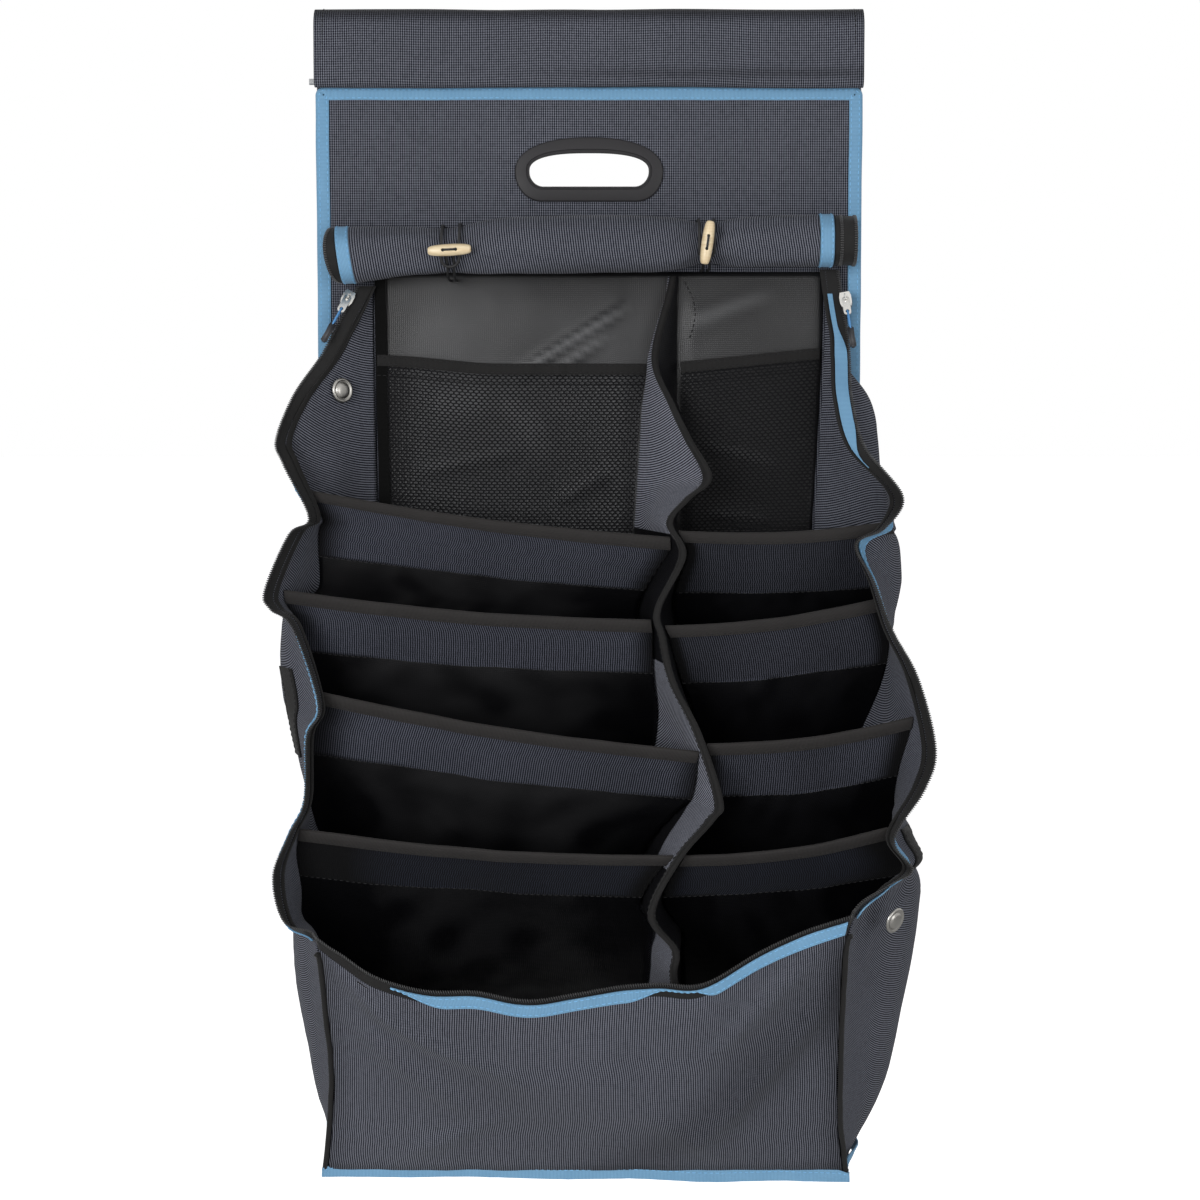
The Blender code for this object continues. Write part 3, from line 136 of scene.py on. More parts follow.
# Share of the height, share of the depth, sway from the column split
CENTRE_EDGE = [
    (-0.020, 0.055, 0.012),
    (0.000, 0.070, 0.009),
    (0.075, 0.133, -0.003),
    (0.128, 0.256, 0.011),
    (0.167, 0.333, 0.024),
    (0.209, 0.400, 0.039),
    (0.233, 0.430, 0.022),
    (0.259, 0.470, 0.008),
    (0.294, 0.538, 0.018),
    (0.351, 0.626, -0.002),
    (0.381, 0.667, 0.001),
    (0.429, 0.718, 0.009),
    (0.482, 0.785, 0.028),
    (0.553, 0.850, 0.044),
    (0.573, 0.872, 0.038),
    (0.613, 0.913, 0.013),
    (0.673, 0.940, -0.008),
    (0.711, 0.950, 0.010),
    (0.737, 0.945, 0.009),
    (0.780, 0.830, 0.012),
    (0.890, 0.660, 0.014),
    (1.000, 0.480, 0.015),
]
# Shares of the height at the side wall, at the centre and at the back wall; width of the strip
LEFT_DIVIDERS = [
    (0.224, 0.277, 0.470, 0.052),
    (0.335, 0.366, 0.620, 0.052),
    (0.444, 0.505, 0.775, 0.051),
    (0.589, 0.614, 0.895, 0.046),
]
RIGHT_DIVIDERS = [
    (0.261, 0.270, 0.470, 0.055),
    (0.345, 0.372, 0.620, 0.055),
    (0.471, 0.497, 0.775, 0.054),
    (0.588, 0.614, 0.895, 0.048),
]
# Share of the front's width, how far its top edge droops
FRONT_DROOP = [
    (0.00, -0.014),
    (0.05, 0.002),
    (0.11, 0.019),
    (0.21, 0.032),
    (0.30, 0.034),
    (0.40, 0.042),
    (0.52, 0.036),
    (0.63, 0.033),
    (0.72, 0.035),
    (0.83, 0.012),
    (0.91, -0.001),
    (1.00, -0.012),
]
# Place across, drop of the roll's axis below the pole, radius
ROLL = [
    (-0.193, 0.1815, 0.0235),
    (-0.150, 0.1790, 0.0215),
    (-0.109, 0.1780, 0.0195),
    (-0.070, 0.1740, 0.0230),
    (0.000, 0.1730, 0.0240),
    (0.060, 0.1730, 0.0230),
    (0.093, 0.1720, 0.0175),
    (0.125, 0.1710, 0.0210),
    (0.182, 0.1700, 0.0220),
]


# Small tools


def smooth(stations, steps):
    """Stations with steps - 1 more between each pair, on a Catmull-Rom curve."""
    rows = []
    for i in range(len(stations) - 1):
        near = (stations[max(i - 1, 0)], stations[i], stations[i + 1])
        far = stations[min(i + 2, len(stations) - 1)]
        for step in range(steps):
            t = step / steps
            row = []
            for a, b, c, d in zip(*near, far):
                bend = 2 * a - 5 * b + 4 * c - d + t * (3 * (b - c) + d - a)
                row.append(b + 0.5 * t * (c - a + t * bend))
            rows.append(tuple(row))
    rows.append(stations[-1])
    return rows


def lookup(stations, at):
    """Values at a place, straight between stations sorted by their first value."""
    if at <= stations[0][0]:
        return list(stations[0][1:])
    for low, high in zip(stations, stations[1:]):
        if at <= high[0]:
            t = (at - low[0]) / (high[0] - low[0])
            return [a + (b - a) * t for a, b in zip(low[1:], high[1:])]
    return list(stations[-1][1:])


def clamp(value, low=0.0, high=1.0):
    """The value, kept from low to high."""
    return min(max(value, low), high)


def ramp(value, low, high):
    """0 up to low, 1 from high on, with a soft rise between."""
    t = clamp((value - low) / (high - low))
    return t * t * (3 - 2 * t)


def rough(x, y, z=0.0):
    """Smooth noise between -1 and 1."""
    return noise.noise(Vector((x, y, z)))


def run_along(points):
    """The distance along a line at each of its points."""
    run = [0.0]
    for a, b in zip(points, points[1:]):
        run.append(run[-1] + (b - a).length)
    return run


def spaced(points, step):
    """Points at even distances along a line of points."""
    lengths = run_along(points)
    count = max(2, round(lengths[-1] / step) + 1)
    found = []
    at = 0
    for i in range(count):
        want = lengths[-1] * i / (count - 1)
        while at < len(lengths) - 2 and lengths[at + 1] < want:
            at += 1
        gap = lengths[at + 1] - lengths[at]
        found.append(points[at].lerp(points[at + 1], (want - lengths[at]) / gap if gap else 0.0))
    return found


def curved(points, steps=4):
    """Points on a smooth curve through the points given."""
    return [Vector(p) for p in smooth([tuple(p) for p in points], steps)]


def hump(value, middle, width):
    """1 at the middle, falling to nothing a few widths away."""
    return math.exp(-(((value - middle) / width) ** 2))


def crease(x, z, line, width, rise=(-0.10, 0.25), fall=(0.75, 1.10)):
    """1 on a crease that runs along a line, 0 away from it and past its ends."""
    (x0, z0), (x1, z1) = line
    along = Vector((x1 - x0, z1 - z0))
    from_start = Vector((x - x0, z - z0))
    t = from_start.dot(along) / along.length_squared
    away = (from_start - along * clamp(t)).length
    return hump(away, 0.0, width) * ramp(t, *rise) * (1 - ramp(t, *fall))


def height_at(share):
    """Z at a share of the bag's height; the last row stays above the bottom board."""
    return BAG_TOP - BAG_HEIGHT * share + (FOOT_LIFT if share > 0.999 else 0.0)


# Materials


WARP = 0.00177
WEFT = 0.00196
DARK = (0.004, 0.005, 0.010)
LIGHT = (0.164, 0.172, 0.207)


def wire(tree, socket, value):
    """Link another node's socket into this one, or set its value."""
    if isinstance(value, bpy.types.NodeSocket):
        tree.links.new(value, socket)
    else:
        socket.default_value = value


class Shade:
    """A Principled material with a few short ways to add nodes."""

    def __init__(self, name, colour, roughness, **more):
        self.material = bpy.data.materials.new(name)
        self.material.use_nodes = True
        self.tree = self.material.node_tree
        self.shader = self.tree.nodes["Principled BSDF"]
        self.put("Base Color", (*colour, 1.0))
        self.put("Roughness", roughness)
        for socket, value in more.items():
            self.put(socket.replace("_", " "), value)

    def put(self, socket, value):
        wire(self.tree, self.shader.inputs[socket], value)

    def node(self, kind, output=0, settings=None, **inputs):
        """A node's output; an input is given by its name, or as i0, i1 by its number."""
        made = self.tree.nodes.new("ShaderNode" + kind)
        for key, value in (settings or {}).items():
            setattr(made, key, value)
        for key, value in inputs.items():
            numbered = key[0] == "i" and key[1:].isdigit()
            wire(self.tree, made.inputs[int(key[1:]) if numbered else key], value)
        return made.outputs[output]

    def math(self, operation, a, b=0.0, c=0.0, clamped=False):
        settings = {"operation": operation, "use_clamp": clamped}
        return self.node("Math", 0, settings, i0=a, i1=b, i2=c)

    def mix(self, factor, a, b, blend="MIX"):
        colours = [v if isinstance(v, bpy.types.NodeSocket) else (*v, 1.0) for v in (a, b)]
        settings = {"data_type": "RGBA", "blend_type": blend}
        return self.node("Mix", 2, settings, i0=factor, i6=colours[0], i7=colours[1])

    def toned(self, colour, value):
        """The colour times a grey value."""
        grey = self.node("CombineColor", Red=value, Green=value, Blue=value)
        return self.mix(1.0, colour, grey, "MULTIPLY")

    def uv(self):
        """The U and V of the piece, in metres."""
        split = self.tree.nodes.new("ShaderNodeSeparateXYZ")
        wire(self.tree, split.inputs[0], self.node("TexCoord", 2))
        return split.outputs[0], split.outputs[1]

    def wave(self, value, period, shift=0.0):
        """0 to 1 and back once a period."""
        turned = self.math("MULTIPLY_ADD", value, 2 * math.pi / period, shift)
        return self.math("MULTIPLY_ADD", self.math("SINE", turned), 0.5, 0.5)

    def grain(self, scale, detail=2.0, vector=None):
        """Noise from 0 to 1 over the piece's own space."""
        place = self.node("TexCoord", 3) if vector is None else vector
        return self.node("TexNoise", Vector=place, Scale=scale, Detail=detail)

    def with_painted_shade(self, colour):
        """The colour, darkened by painted shade where the piece's dark attribute asks for it."""
        gone = self.node("Attribute", 2, {"attribute_name": "dark"})
        return self.mix(gone, colour, (0.0015, 0.0015, 0.002))

    def bump(self, height, distance, strength=1.0, under=None):
        inputs = {"Height": height, "Distance": distance, "Strength": strength}
        if under is not None:
            inputs["Normal"] = under
        return self.node("Bump", **inputs)


def canvas_material(name, lines, warp=WARP, weft=WEFT, light=LIGHT, dark=DARK, slack=1.0):
    """Two-tone textile: light threads over a dark ground; lines is the share of the warp."""
    shade = Shade(name, dark, 0.85, Specular_IOR_Level=0.12, Sheen_Weight=0.05, Sheen_Roughness=0.5)
    u, v = shade.uv()
    drift = shade.grain(7.0, 1.0)
    u = shade.math("MULTIPLY_ADD", drift, warp * 0.6 * slack, u)
    v = shade.math("MULTIPLY_ADD", drift, weft * -0.5 * slack, v)
    across = shade.math("MULTIPLY", shade.wave(v, weft), 1.0 - lines)
    both = shade.math("MULTIPLY_ADD", shade.wave(u, warp), lines, across)
    thread = shade.math("MULTIPLY_ADD", both, 2.4, -0.82, clamped=True)
    patchy = shade.math("MULTIPLY_ADD", shade.grain(320.0, 2.0), 0.9, 0.55)
    colour = shade.mix(shade.math("MULTIPLY", thread, patchy, clamped=True), dark, light)
    cloud = shade.math("MULTIPLY_ADD", shade.grain(6.0, 3.0), 0.40, 0.80)
    shade.put("Base Color", shade.with_painted_shade(shade.toned(colour, cloud)))
    fine = shade.bump(both, 0.00030, 0.6)
    shade.put("Normal", shade.bump(shade.grain(60.0, 2.0), 0.0008, 0.25, fine))
    return shade.material


def lining_material(name, colour, shine):
    """Coated black lining: a faint close weave under a soft shine."""
    pitch = 0.0016
    shade = Shade(name, colour, 0.40, Specular_IOR_Level=shine)
    u, v = shade.uv()
    weave = shade.math("MULTIPLY", shade.wave(u, pitch), shade.wave(v, pitch))
    soft = shade.grain(7.0, 3.0)
    shade.put("Roughness", shade.math("MULTIPLY_ADD", soft, 0.16, 0.30))
    cloud = shade.math("MULTIPLY_ADD", soft, 0.9, 0.42)
    bright = shade.math("MULTIPLY_ADD", weave, 0.30, cloud)
    shade.put("Base Color", shade.with_painted_shade(shade.toned(colour, bright)))
    low = shade.bump(soft, 0.006, 0.5)
    shade.put("Normal", shade.bump(weave, 0.00025, 0.5, low))
    return shade.material


def band_material(name, dark, light, pitch, rough_at=0.7, distance=0.0003, shine=0.3):
    """Ribbed woven band: ribs across its length and a fine second thread along it."""
    more = {"Sheen_Weight": 0.08, "Sheen_Roughness": 0.4, "Specular_IOR_Level": shine}
    shade = Shade(name, dark, rough_at, **more)
    u, v = shade.uv()
    ribs = shade.wave(u, pitch)
    fine = shade.wave(v, pitch * 0.8)
    both = shade.math("MULTIPLY_ADD", ribs, 0.7, shade.math("MULTIPLY", fine, 0.3))
    patchy = shade.math("MULTIPLY_ADD", shade.grain(60.0, 4.0), 0.5, 0.55)
    lit = shade.math("MULTIPLY", both, patchy, clamped=True)
    shade.put("Base Color", shade.mix(lit, dark, light))
    shade.put("Normal", shade.bump(both, distance, 0.7))
    return shade.material


def plain_material(name, colour, roughness, grain=120.0, depth=0.0004, vary=0.3, **more):
    """One colour with slight variation and a fine grain."""
    shade = Shade(name, colour, roughness, **more)
    cloud = shade.math("MULTIPLY_ADD", shade.grain(40.0, 4.0), vary, 1.0 - vary / 2)
    shade.put("Base Color", shade.toned(colour, cloud))
    wear_and_shade = shade.grain(80.0, 3.0)
    shade.put("Roughness", shade.math("MULTIPLY_ADD", wear_and_shade, 0.15, roughness - 0.07))
    shade.put("Normal", shade.bump(shade.grain(grain, 3.0), depth, 0.4))
    return shade.material


def wood_material():
    """Pale lacquered wood with its grain drawn out along the toggle."""
    pale, brown = (0.86, 0.73, 0.50), (0.66, 0.47, 0.25)
    shade = Shade("toggle_wood", (0.80, 0.64, 0.40), 0.42, Coat_Weight=0.25, Coat_Roughness=0.25)
    drawn = (60.0, 60.0, 900.0)
    place = shade.node("Mapping", Vector=shade.node("TexCoord", 3), Scale=drawn)
    lines = shade.grain(1.0, 6.0, place)
    veins = shade.math("MULTIPLY_ADD", lines, 1.8, -0.5, clamped=True)
    shade.put("Base Color", shade.mix(veins, pale, brown))
    shade.put("Normal", shade.bump(lines, 0.0003, 0.25))
    return shade.material


# How much of each textile's light thread runs along its warp
GRID = 0.60
LINES = 0.84
GRID_CLOTH = canvas_material("canvas_grid", GRID)
LINE_CLOTH = canvas_material("canvas_lines", LINES)
SIDE_CLOTH = canvas_material("canvas_side", LINES, WEFT, WARP)
# Darker copies of the line canvas for the pocket strips: partly the cloth's darker back, partly
# painted shade; the lowest strips' copy is darker still by painted shade.
STRIP_CLOTH = canvas_material(
    "canvas_strip", LINES, light=(0.080, 0.085, 0.110), dark=(0.002, 0.003, 0.006), slack=0.1
)
SHADED_STRIP_CLOTH = canvas_material(
    "canvas_strip_shaded", LINES, light=(0.022, 0.026, 0.040), dark=(0.001, 0.001, 0.003), slack=0.1
)
# A lighter copy of the side canvas for the centre leaf: painted light where the leaf's face turns
# to the key lamp.
LIT_LEAF_CLOTH = canvas_material("canvas_leaf_lit", LINES, WEFT, WARP, light=(0.300, 0.312, 0.370))
# Lit and shaded copies of one lining: the wall's copy is painted light, then darkened by its
# painted shade; the pockets' copy and the darkest copy carry painted shade in the pockets, the
# right column and the centre divider's right leaf, and the darkest also serves for the left leaf's
# black side.
LINING = lining_material("lining_look", (0.190, 0.192, 0.200), 0.30)
POCKET_LINING = lining_material("pocket_lining_look", (0.013, 0.013, 0.014), 0.20)
DARK_LINING = lining_material("dark_lining_look", (0.006, 0.006, 0.007), 0.12)
BLUE = band_material("blue_look", (0.110, 0.26, 0.43), (0.25, 0.47, 0.68), 0.0011)
BLACK = band_material(
    "black_look", (0.005, 0.005, 0.005), (0.024, 0.023, 0.023), 0.0010, shine=0.15
)
TAPE = band_material(
    "zip_tape_look", (0.005, 0.005, 0.005), (0.028, 0.027, 0.027), 0.0009, shine=0.2
)
# Near-black cloth for a painted shadow band along the lining's left seam.
SHADOW_BAND_BLACK = band_material(
    "shadow_band_look", (0.002, 0.002, 0.002), (0.006, 0.006, 0.006), 0.0010, shine=0.05
)
RIM = band_material("rim_look", (0.010, 0.009, 0.009), (0.042, 0.039, 0.038), 0.0010, shine=0.2)
TEETH = plain_material("zip_teeth_look", (0.045, 0.045, 0.046), 0.32, 300.0, 0.0002)
ROPE = plain_material("elastic_look", (0.010, 0.010, 0.011), 0.62, 900.0, 0.0005)
BLUE_ROPE = plain_material("pull_cord_look", (0.09, 0.28, 0.58), 0.55, 900.0, 0.0005)
THREAD_BLUE = plain_material("blue_thread_look", (0.22, 0.50, 0.78), 0.6, 900.0, 0.0002)
GRIP = plain_material("grip_look", (0.030, 0.031, 0.036), 0.5, 350.0, 0.0003, 0.6)
METAL = plain_material("metal_look", (0.66, 0.65, 0.62), 0.24, 60.0, 0.0002, 0.2, Metallic=1.0)
STUD = plain_material("stud_look", (0.34, 0.33, 0.31), 0.34, 200.0, 0.0001, 0.4, Metallic=1.0)
STEEL = plain_material("rod_look", (0.42, 0.43, 0.44), 0.4, 60.0, 0.0002, 0.2, Metallic=0.7)
NET = plain_material(
    "net_look", (0.005, 0.005, 0.006), 0.7, 400.0, 0.0002, Specular_IOR_Level=0.12
)
PLASTIC = plain_material(
    "handle_look", (0.024, 0.023, 0.025), 0.48, 500.0, 0.0002, 0.15, Specular_IOR_Level=0.22
)
THREAD_BLACK = plain_material(
    "black_thread_look", (0.016, 0.016, 0.017), 0.6, 900.0, 0.0002, Specular_IOR_Level=0.2
)
WOOD = wood_material()


# Meshes


def new_piece(name, data, materials, body="bag", slot=None, nodes=()):
    made = bpy.data.objects.new(name, data)
    bpy.context.scene.collection.objects.link(made)
    for material in materials:
        data.materials.append(material)
    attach(made, body)
    if nodes:
        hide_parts(*nodes)
    return made


def mesh_of(bm, name, sharp=None):
    """The mesh, shaded smooth but for edges sharper than sharp degrees."""
    data = bpy.data.meshes.new(name)
    bm.to_mesh(data)
    bm.free()
    data.shade_smooth()
    if sharp:
        data.set_sharp_from_angle(angle=math.radians(sharp))
    return data


def skin(bm, rings, layer=None, run=(), girth=()):
    """Faces between each ring and the next, with UV from the run and the girth in metres."""
    for k, (first, second) in enumerate(zip(rings, rings[1:])):
        for i in range(len(first)):
            j = (i + 1) % len(first)
            face = bm.faces.new((first[i], first[j], second[j], second[i]))
            if layer:
                places = ((k, i), (k, i + 1), (k + 1, i + 1), (k + 1, i))
                for loop, (along, around) in zip(face.loops, places):
                    loop[layer].uv = (run[along], girth[around])


def carried(side, along):
    """A direction square to along, turned as little as can be from the last one."""
    if side is None:
        return along.orthogonal().normalized()
    return (side - along * side.dot(along)).normalized()


def grid_data(name, rows, turn_uv=False, pick=None):
    """A grid mesh whose UV is the distance along the cloth both ways, in metres."""
    bm = bmesh.new()
    layer = bm.loops.layers.uv.new("cloth")
    across = len(rows[0])
    us = []
    vs = [[0.0] * across]
    for row in rows:
        line = run_along(row)
        us.append([u - line[-1] / 2 for u in line])
    for upper, lower in zip(rows, rows[1:]):
        vs.append([v + (b - a).length for v, a, b in zip(vs[-1], upper, lower)])
    grid = [[bm.verts.new(p) for p in row] for row in rows]
    for i in range(len(rows) - 1):
        for j in range(across - 1):
            corners = [(i, j), (i + 1, j), (i + 1, j + 1), (i, j + 1)]
            face = bm.faces.new([grid[a][b] for a, b in corners])
            face.material_index = pick(i, j) if pick else 0
            for loop, (a, b) in zip(face.loops, corners):
                loop[layer].uv = (vs[a][b], us[a][b]) if turn_uv else (us[a][b], vs[a][b])
    return mesh_of(bm, name)


def area_of(rows):
    total = 0.0
    for upper, lower in zip(rows, rows[1:]):
        for j in range(len(upper) - 1):
            a, b, c, d = upper[j], lower[j], lower[j + 1], upper[j + 1]
            total += ((b - a).cross(c - a).length + (c - a).cross(d - a).length) / 2
    return total


def cloth(
    name,
    rows,
    thickness,
    materials,
    held=None,
    rests_on=(),
    turn_uv=False,
    pick=None,
    dark=None,
    **more,
):
    """Cloth from a grid of points; dark gives the painted shade of the cloth at a row and column.
    """
    data = grid_data(name, rows, turn_uv, pick=pick)
    if dark:
        across = len(rows[0])
        values = [clamp(dark(i, j)) for i in range(len(rows)) for j in range(across)]
        data.attributes.new("dark", "FLOAT", "POINT").data.foreach_set("value", values)
    made = new_piece(name, data, materials, **more)
    solidify = made.modifiers.new("thickness", "SOLIDIFY")
    solidify.thickness = thickness
    solidify.offset = 0
    solidify.material_offset = 0 if pick else min(len(materials) - 1, 1)
    solidify.material_offset_rim = solidify.material_offset
    if held:
        width = max(run_along(row)[-1] for row in rows)
        length = max(run_along(column)[-1] for column in zip(*rows))
        area = clamp(area_of(rows), 0.31 * width * length, width * length)
        list(rests_on)
    return made


def lathe(name, profile, steps, materials, place, **more):
    """A profile of (radius, height) turned round local Z, then put in place."""
    bm = bmesh.new()
    rings = []
    for radius, height in profile:
        ring = []
        for i in range(steps if radius > 1e-7 else 1):
            a = 2 * math.pi * i / steps
            ring.append(bm.verts.new((radius * math.cos(a), radius * math.sin(a), height)))
        rings.append(ring)
    for a, b in zip(rings, rings[1:]):
        for i in range(steps):
            j = (i + 1) % steps
            corners = [a[i % len(a)], b[i % len(b)], b[j % len(b)], a[j % len(a)]]
            unique = list(dict.fromkeys(corners))
            if len(unique) > 2:
                bm.faces.new(unique)
    bmesh.ops.recalc_face_normals(bm, faces=bm.faces)
    data = mesh_of(bm, name, 40)
    data.transform(place)
    return new_piece(name, data, materials, **more)


def swept(name, frames, profile, materials, **more):
    """A closed profile of (across, out) points along frames of (origin, across, out)."""
    bm = bmesh.new()
    layer = bm.loops.layers.uv.new("cloth")
    run = run_along([origin for origin, _, _ in frames])
    girth = run_along([Vector(p) for p in (*profile, profile[0])])
    rings = [[bm.verts.new(o + x * a + y * b) for a, b in profile] for o, x, y in frames]
    skin(bm, rings, layer, run, girth)
    for ring in (rings[0], rings[-1]):
        bm.faces.new(ring)
    bmesh.ops.recalc_face_normals(bm, faces=bm.faces)
    return new_piece(name, mesh_of(bm, name, 50), materials, **more)


def rope(
    name, points, radius, material, body="bag", slot=None, nodes=(), cord=None, sides=10, twist=0.0
):
    """A round cord along points; twist gives a braid of that pitch. cord is not used."""
    line = spaced(points, min(radius * 1.5, 0.0012))
    run = run_along(line)
    bm = bmesh.new()
    layer = bm.loops.layers.uv.new("cloth")
    rings = []
    side = None
    for i, spot in enumerate(line):
        ahead = (line[min(i + 1, len(line) - 1)] - line[max(i - 1, 0)]).normalized()
        side = carried(side, ahead)
        other = ahead.cross(side)
        ring = []
        for k in range(sides):
            angle = 2 * math.pi * k / sides
            braid = 0.10 * math.cos(3 * angle + 2 * math.pi * run[i] / twist) if twist else 0.0
            out = side * math.cos(angle) + other * math.sin(angle)
            ring.append(bm.verts.new(spot + out * radius * (1 + braid)))
        rings.append(ring)
    skin(bm, rings, layer, run, [k * radius * 0.63 for k in range(sides + 1)])
    bm.faces.new(rings[0])
    bm.faces.new(rings[-1])
    bmesh.ops.recalc_face_normals(bm, faces=bm.faces)
    made = new_piece(name, mesh_of(bm, name), [material], body, slot, nodes)
    return made


def seam_line(frames, across_at, lift, face=1):
    """Points and normals for stitches beside frames of (origin, across, out)."""
    points = [o + a * across_at + n * face * lift for o, a, n in frames]
    return points, [n * face for _, _, n in frames]


# Rings of one stitch: place along it, share of its radius, rise out of the cloth
STITCH = ((-0.5, 0.35, -0.6), (-0.36, 0.9, 0.1), (0.0, 1.0, 0.45), (0.36, 0.9, 0.1))
STITCH += ((0.5, 0.35, -0.6),)


def stitches(name, lines, material, slot=None, body="bag"):
    """Short raised stitches along lines of (points, normals)."""
    length, pitch, radius, sides = 0.0030, 0.0046, 0.00032, 6
    bm = bmesh.new()
    for points, normals in lines:
        line = spaced(points, pitch / 2)
        for k in range(0, len(line) - 1, 2):
            a, b = line[k], line[k + 1]
            along = (b - a).normalized()
            near = min(range(len(points)), key=lambda q: (points[q] - a).length_squared)
            out = normals[near]
            side = along.cross(out).normalized()
            middle = (a + b) / 2
            rings = []
            for s, share, lift in STITCH:
                centre = middle + along * (length * s) + out * (radius * lift)
                ring = []
                for q in range(sides):
                    angle = 2 * math.pi * q / sides
                    around = side * math.cos(angle) + out * math.sin(angle)
                    ring.append(bm.verts.new(centre + around * radius * share))
                rings.append(ring)
            skin(bm, rings)
    return new_piece(name, mesh_of(bm, name), [material], body=body, slot=slot)


# Side gussets


class Gusset:
    """One side wall: rows of cloth from its seam on the back panel to its front edge."""

    def __init__(self, side, seam, flare, curl, stations, corner, steps=8):
        self.side = side
        self.seam = seam
        self.flare = flare
        self.curl = curl
        self.steps = steps
        self.rows = smooth(stations, steps)
        self.corner = corner * steps

    def seam_at(self, z):
        """How far from the middle the wall is sewn on, wider towards the top."""
        return self.seam + self.flare * ramp(z, -0.52, -0.20)

    def point(self, row, t):
        """A place on a row, t being 0 at its seam and 1 at its edge, before the small folds."""
        share, depth, splay, belly, _ = row
        z = height_at(share)
        back = Vector((self.side * self.seam_at(z), WALL_BACK, z))
        front = Vector((self.side * (PANEL_WIDTH / 2 + splay), -depth * BAG_DEPTH, z))
        bulge = belly * 6.02 * max(t, 0.0) ** 0.9 * max(1 - t, 0.0) ** 2
        bulge += lookup(self.curl, share)[0] * ramp(t, 0.35, 0.72) * (1 - ramp(t, 0.70, 0.90))
        return back.lerp(front, t) + Vector((self.side * bulge, 0, 0))

    def crumpled(self, row, t):
        """A place on a row with soft folds that fade at the seam and at the bound edge."""
        spot = self.point(row, t)
        fade = math.sin(math.pi * clamp(t)) ** 0.8
        wide = rough(spot.y * 9, spot.z * 16, self.side * 3.0) * 0.0032
        pull = rough(spot.y * 30 + spot.z * 22, spot.z * 9, 5.0 + self.side) * 0.0016
        small = rough(spot.y * 90, spot.z * 80, 9.0) * 0.0005
        return spot + Vector((self.side * fade * (wide + pull + small), 0, 0))

    def inset(self, index):
        """How far the cloth ends behind the row's front edge."""
        if index < self.corner:
            return ZIP_TAPE * math.cos(math.radians(self.rows[index][4]))
        return EDGE_INSET

    def share_at(self, row, distance):
        """t at a distance behind the front edge, measured along the cloth."""
        here = self.point(row, 1.0)
        gone = 0.0
        t = 1.0
        step = 1 / 64
        while t > step:
            there = self.point(row, t - step)
            length = (there - here).length
            gone += length
            if gone >= distance:
                return t - step * (1 - (gone - distance) / length)
            here = there
            t -= step
        return t

    def frame(self, index, behind=0.0, turned_out=True):
        """Origin, across and out at the cloth's front edge or a distance behind it."""
        row = self.rows[index]
        t = self.share_at(row, self.inset(index) + behind)
        origin = self.point(row, t)
        across = (self.point(row, 1.0) - origin).normalized()
        if turned_out:
            turn = math.radians(row[4])
            sideways = Vector((self.side * math.sin(turn), -math.cos(turn), 0))
            across = across.lerp(sideways, min(turn, 1.0)).normalized()
        lift = max(0.0, 1 - (self.corner - index) / (2.5 * self.steps))
        if lift and behind == 0.0:
            across = (across * (1 - 0.5 * lift) + UP * 0.5 * lift).normalized()
        return origin, across, self.outward(across)

    def outward(self, across):
        """The direction out of the bag, square to a line across the edge."""
        return (across.cross(UP) * -self.side).normalized()

    def trim_row(self, index, wide):
        """Points of the blue trim across the edge; it widens where the wall curls out."""
        row = self.rows[index]
        curled = clamp(lookup(self.curl, row[0])[0] / 0.010)
        origin, across, _ = self.frame(index, behind=0.0001, turned_out=False)
        low = -0.0035 * wide - 0.0105 * curled
        high = 0.0065 * wide * (1 - 0.85 * curled)
        line = []
        for k in range(9):
            reach = low + (high - low) * k / 8
            if reach > 0:
                line.append(origin + across * reach)
            else:
                line.append(self.crumpled(row, self.share_at(row, self.inset(index) - reach)))
        return line, self.outward((line[-1] - line[0]).normalized())

    def at(self, y, z):
        """The wall's X at a place on the side, for a piece that meets it."""
        share = clamp((BAG_TOP - z) / BAG_HEIGHT)
        row = (share, *lookup(self.rows, share))
        t = clamp((y - WALL_BACK) / (-row[1] * BAG_DEPTH - WALL_BACK))
        return self.point(row, t).x

    def cloth(self, name, node):
        columns = 30
        rows = []
        for index, row in enumerate(self.rows):
            last = self.share_at(row, self.inset(index))
            rows.append([self.crumpled(row, last * i / (columns - 1)) for i in range(columns)])
        held = {"held": "stretched", "rests_on": ["back_board"]}
        more = {"turn_uv": True, "slot": "canvas", "nodes": [node]}
        return cloth(name, rows, CANVAS, [SIDE_CLOTH], **more, **held)


# Share of the height and how far the wall curls out there
LEFT_CURL = [(0.165, 0.0), (0.190, 0.011), (0.225, 0.014), (0.252, 0.005), (0.268, 0.0), (1.0, 0.0)]
RIGHT_CURL = [(0.245, 0.0), (0.268, 0.011), (0.290, 0.005), (0.315, 0.0), (0.575, 0.0)]
RIGHT_CURL += [(0.598, 0.012), (0.628, 0.010), (0.650, 0.005), (0.680, 0.006), (0.740, 0.0)]
RIGHT_CURL += [(1.0, 0.0)]
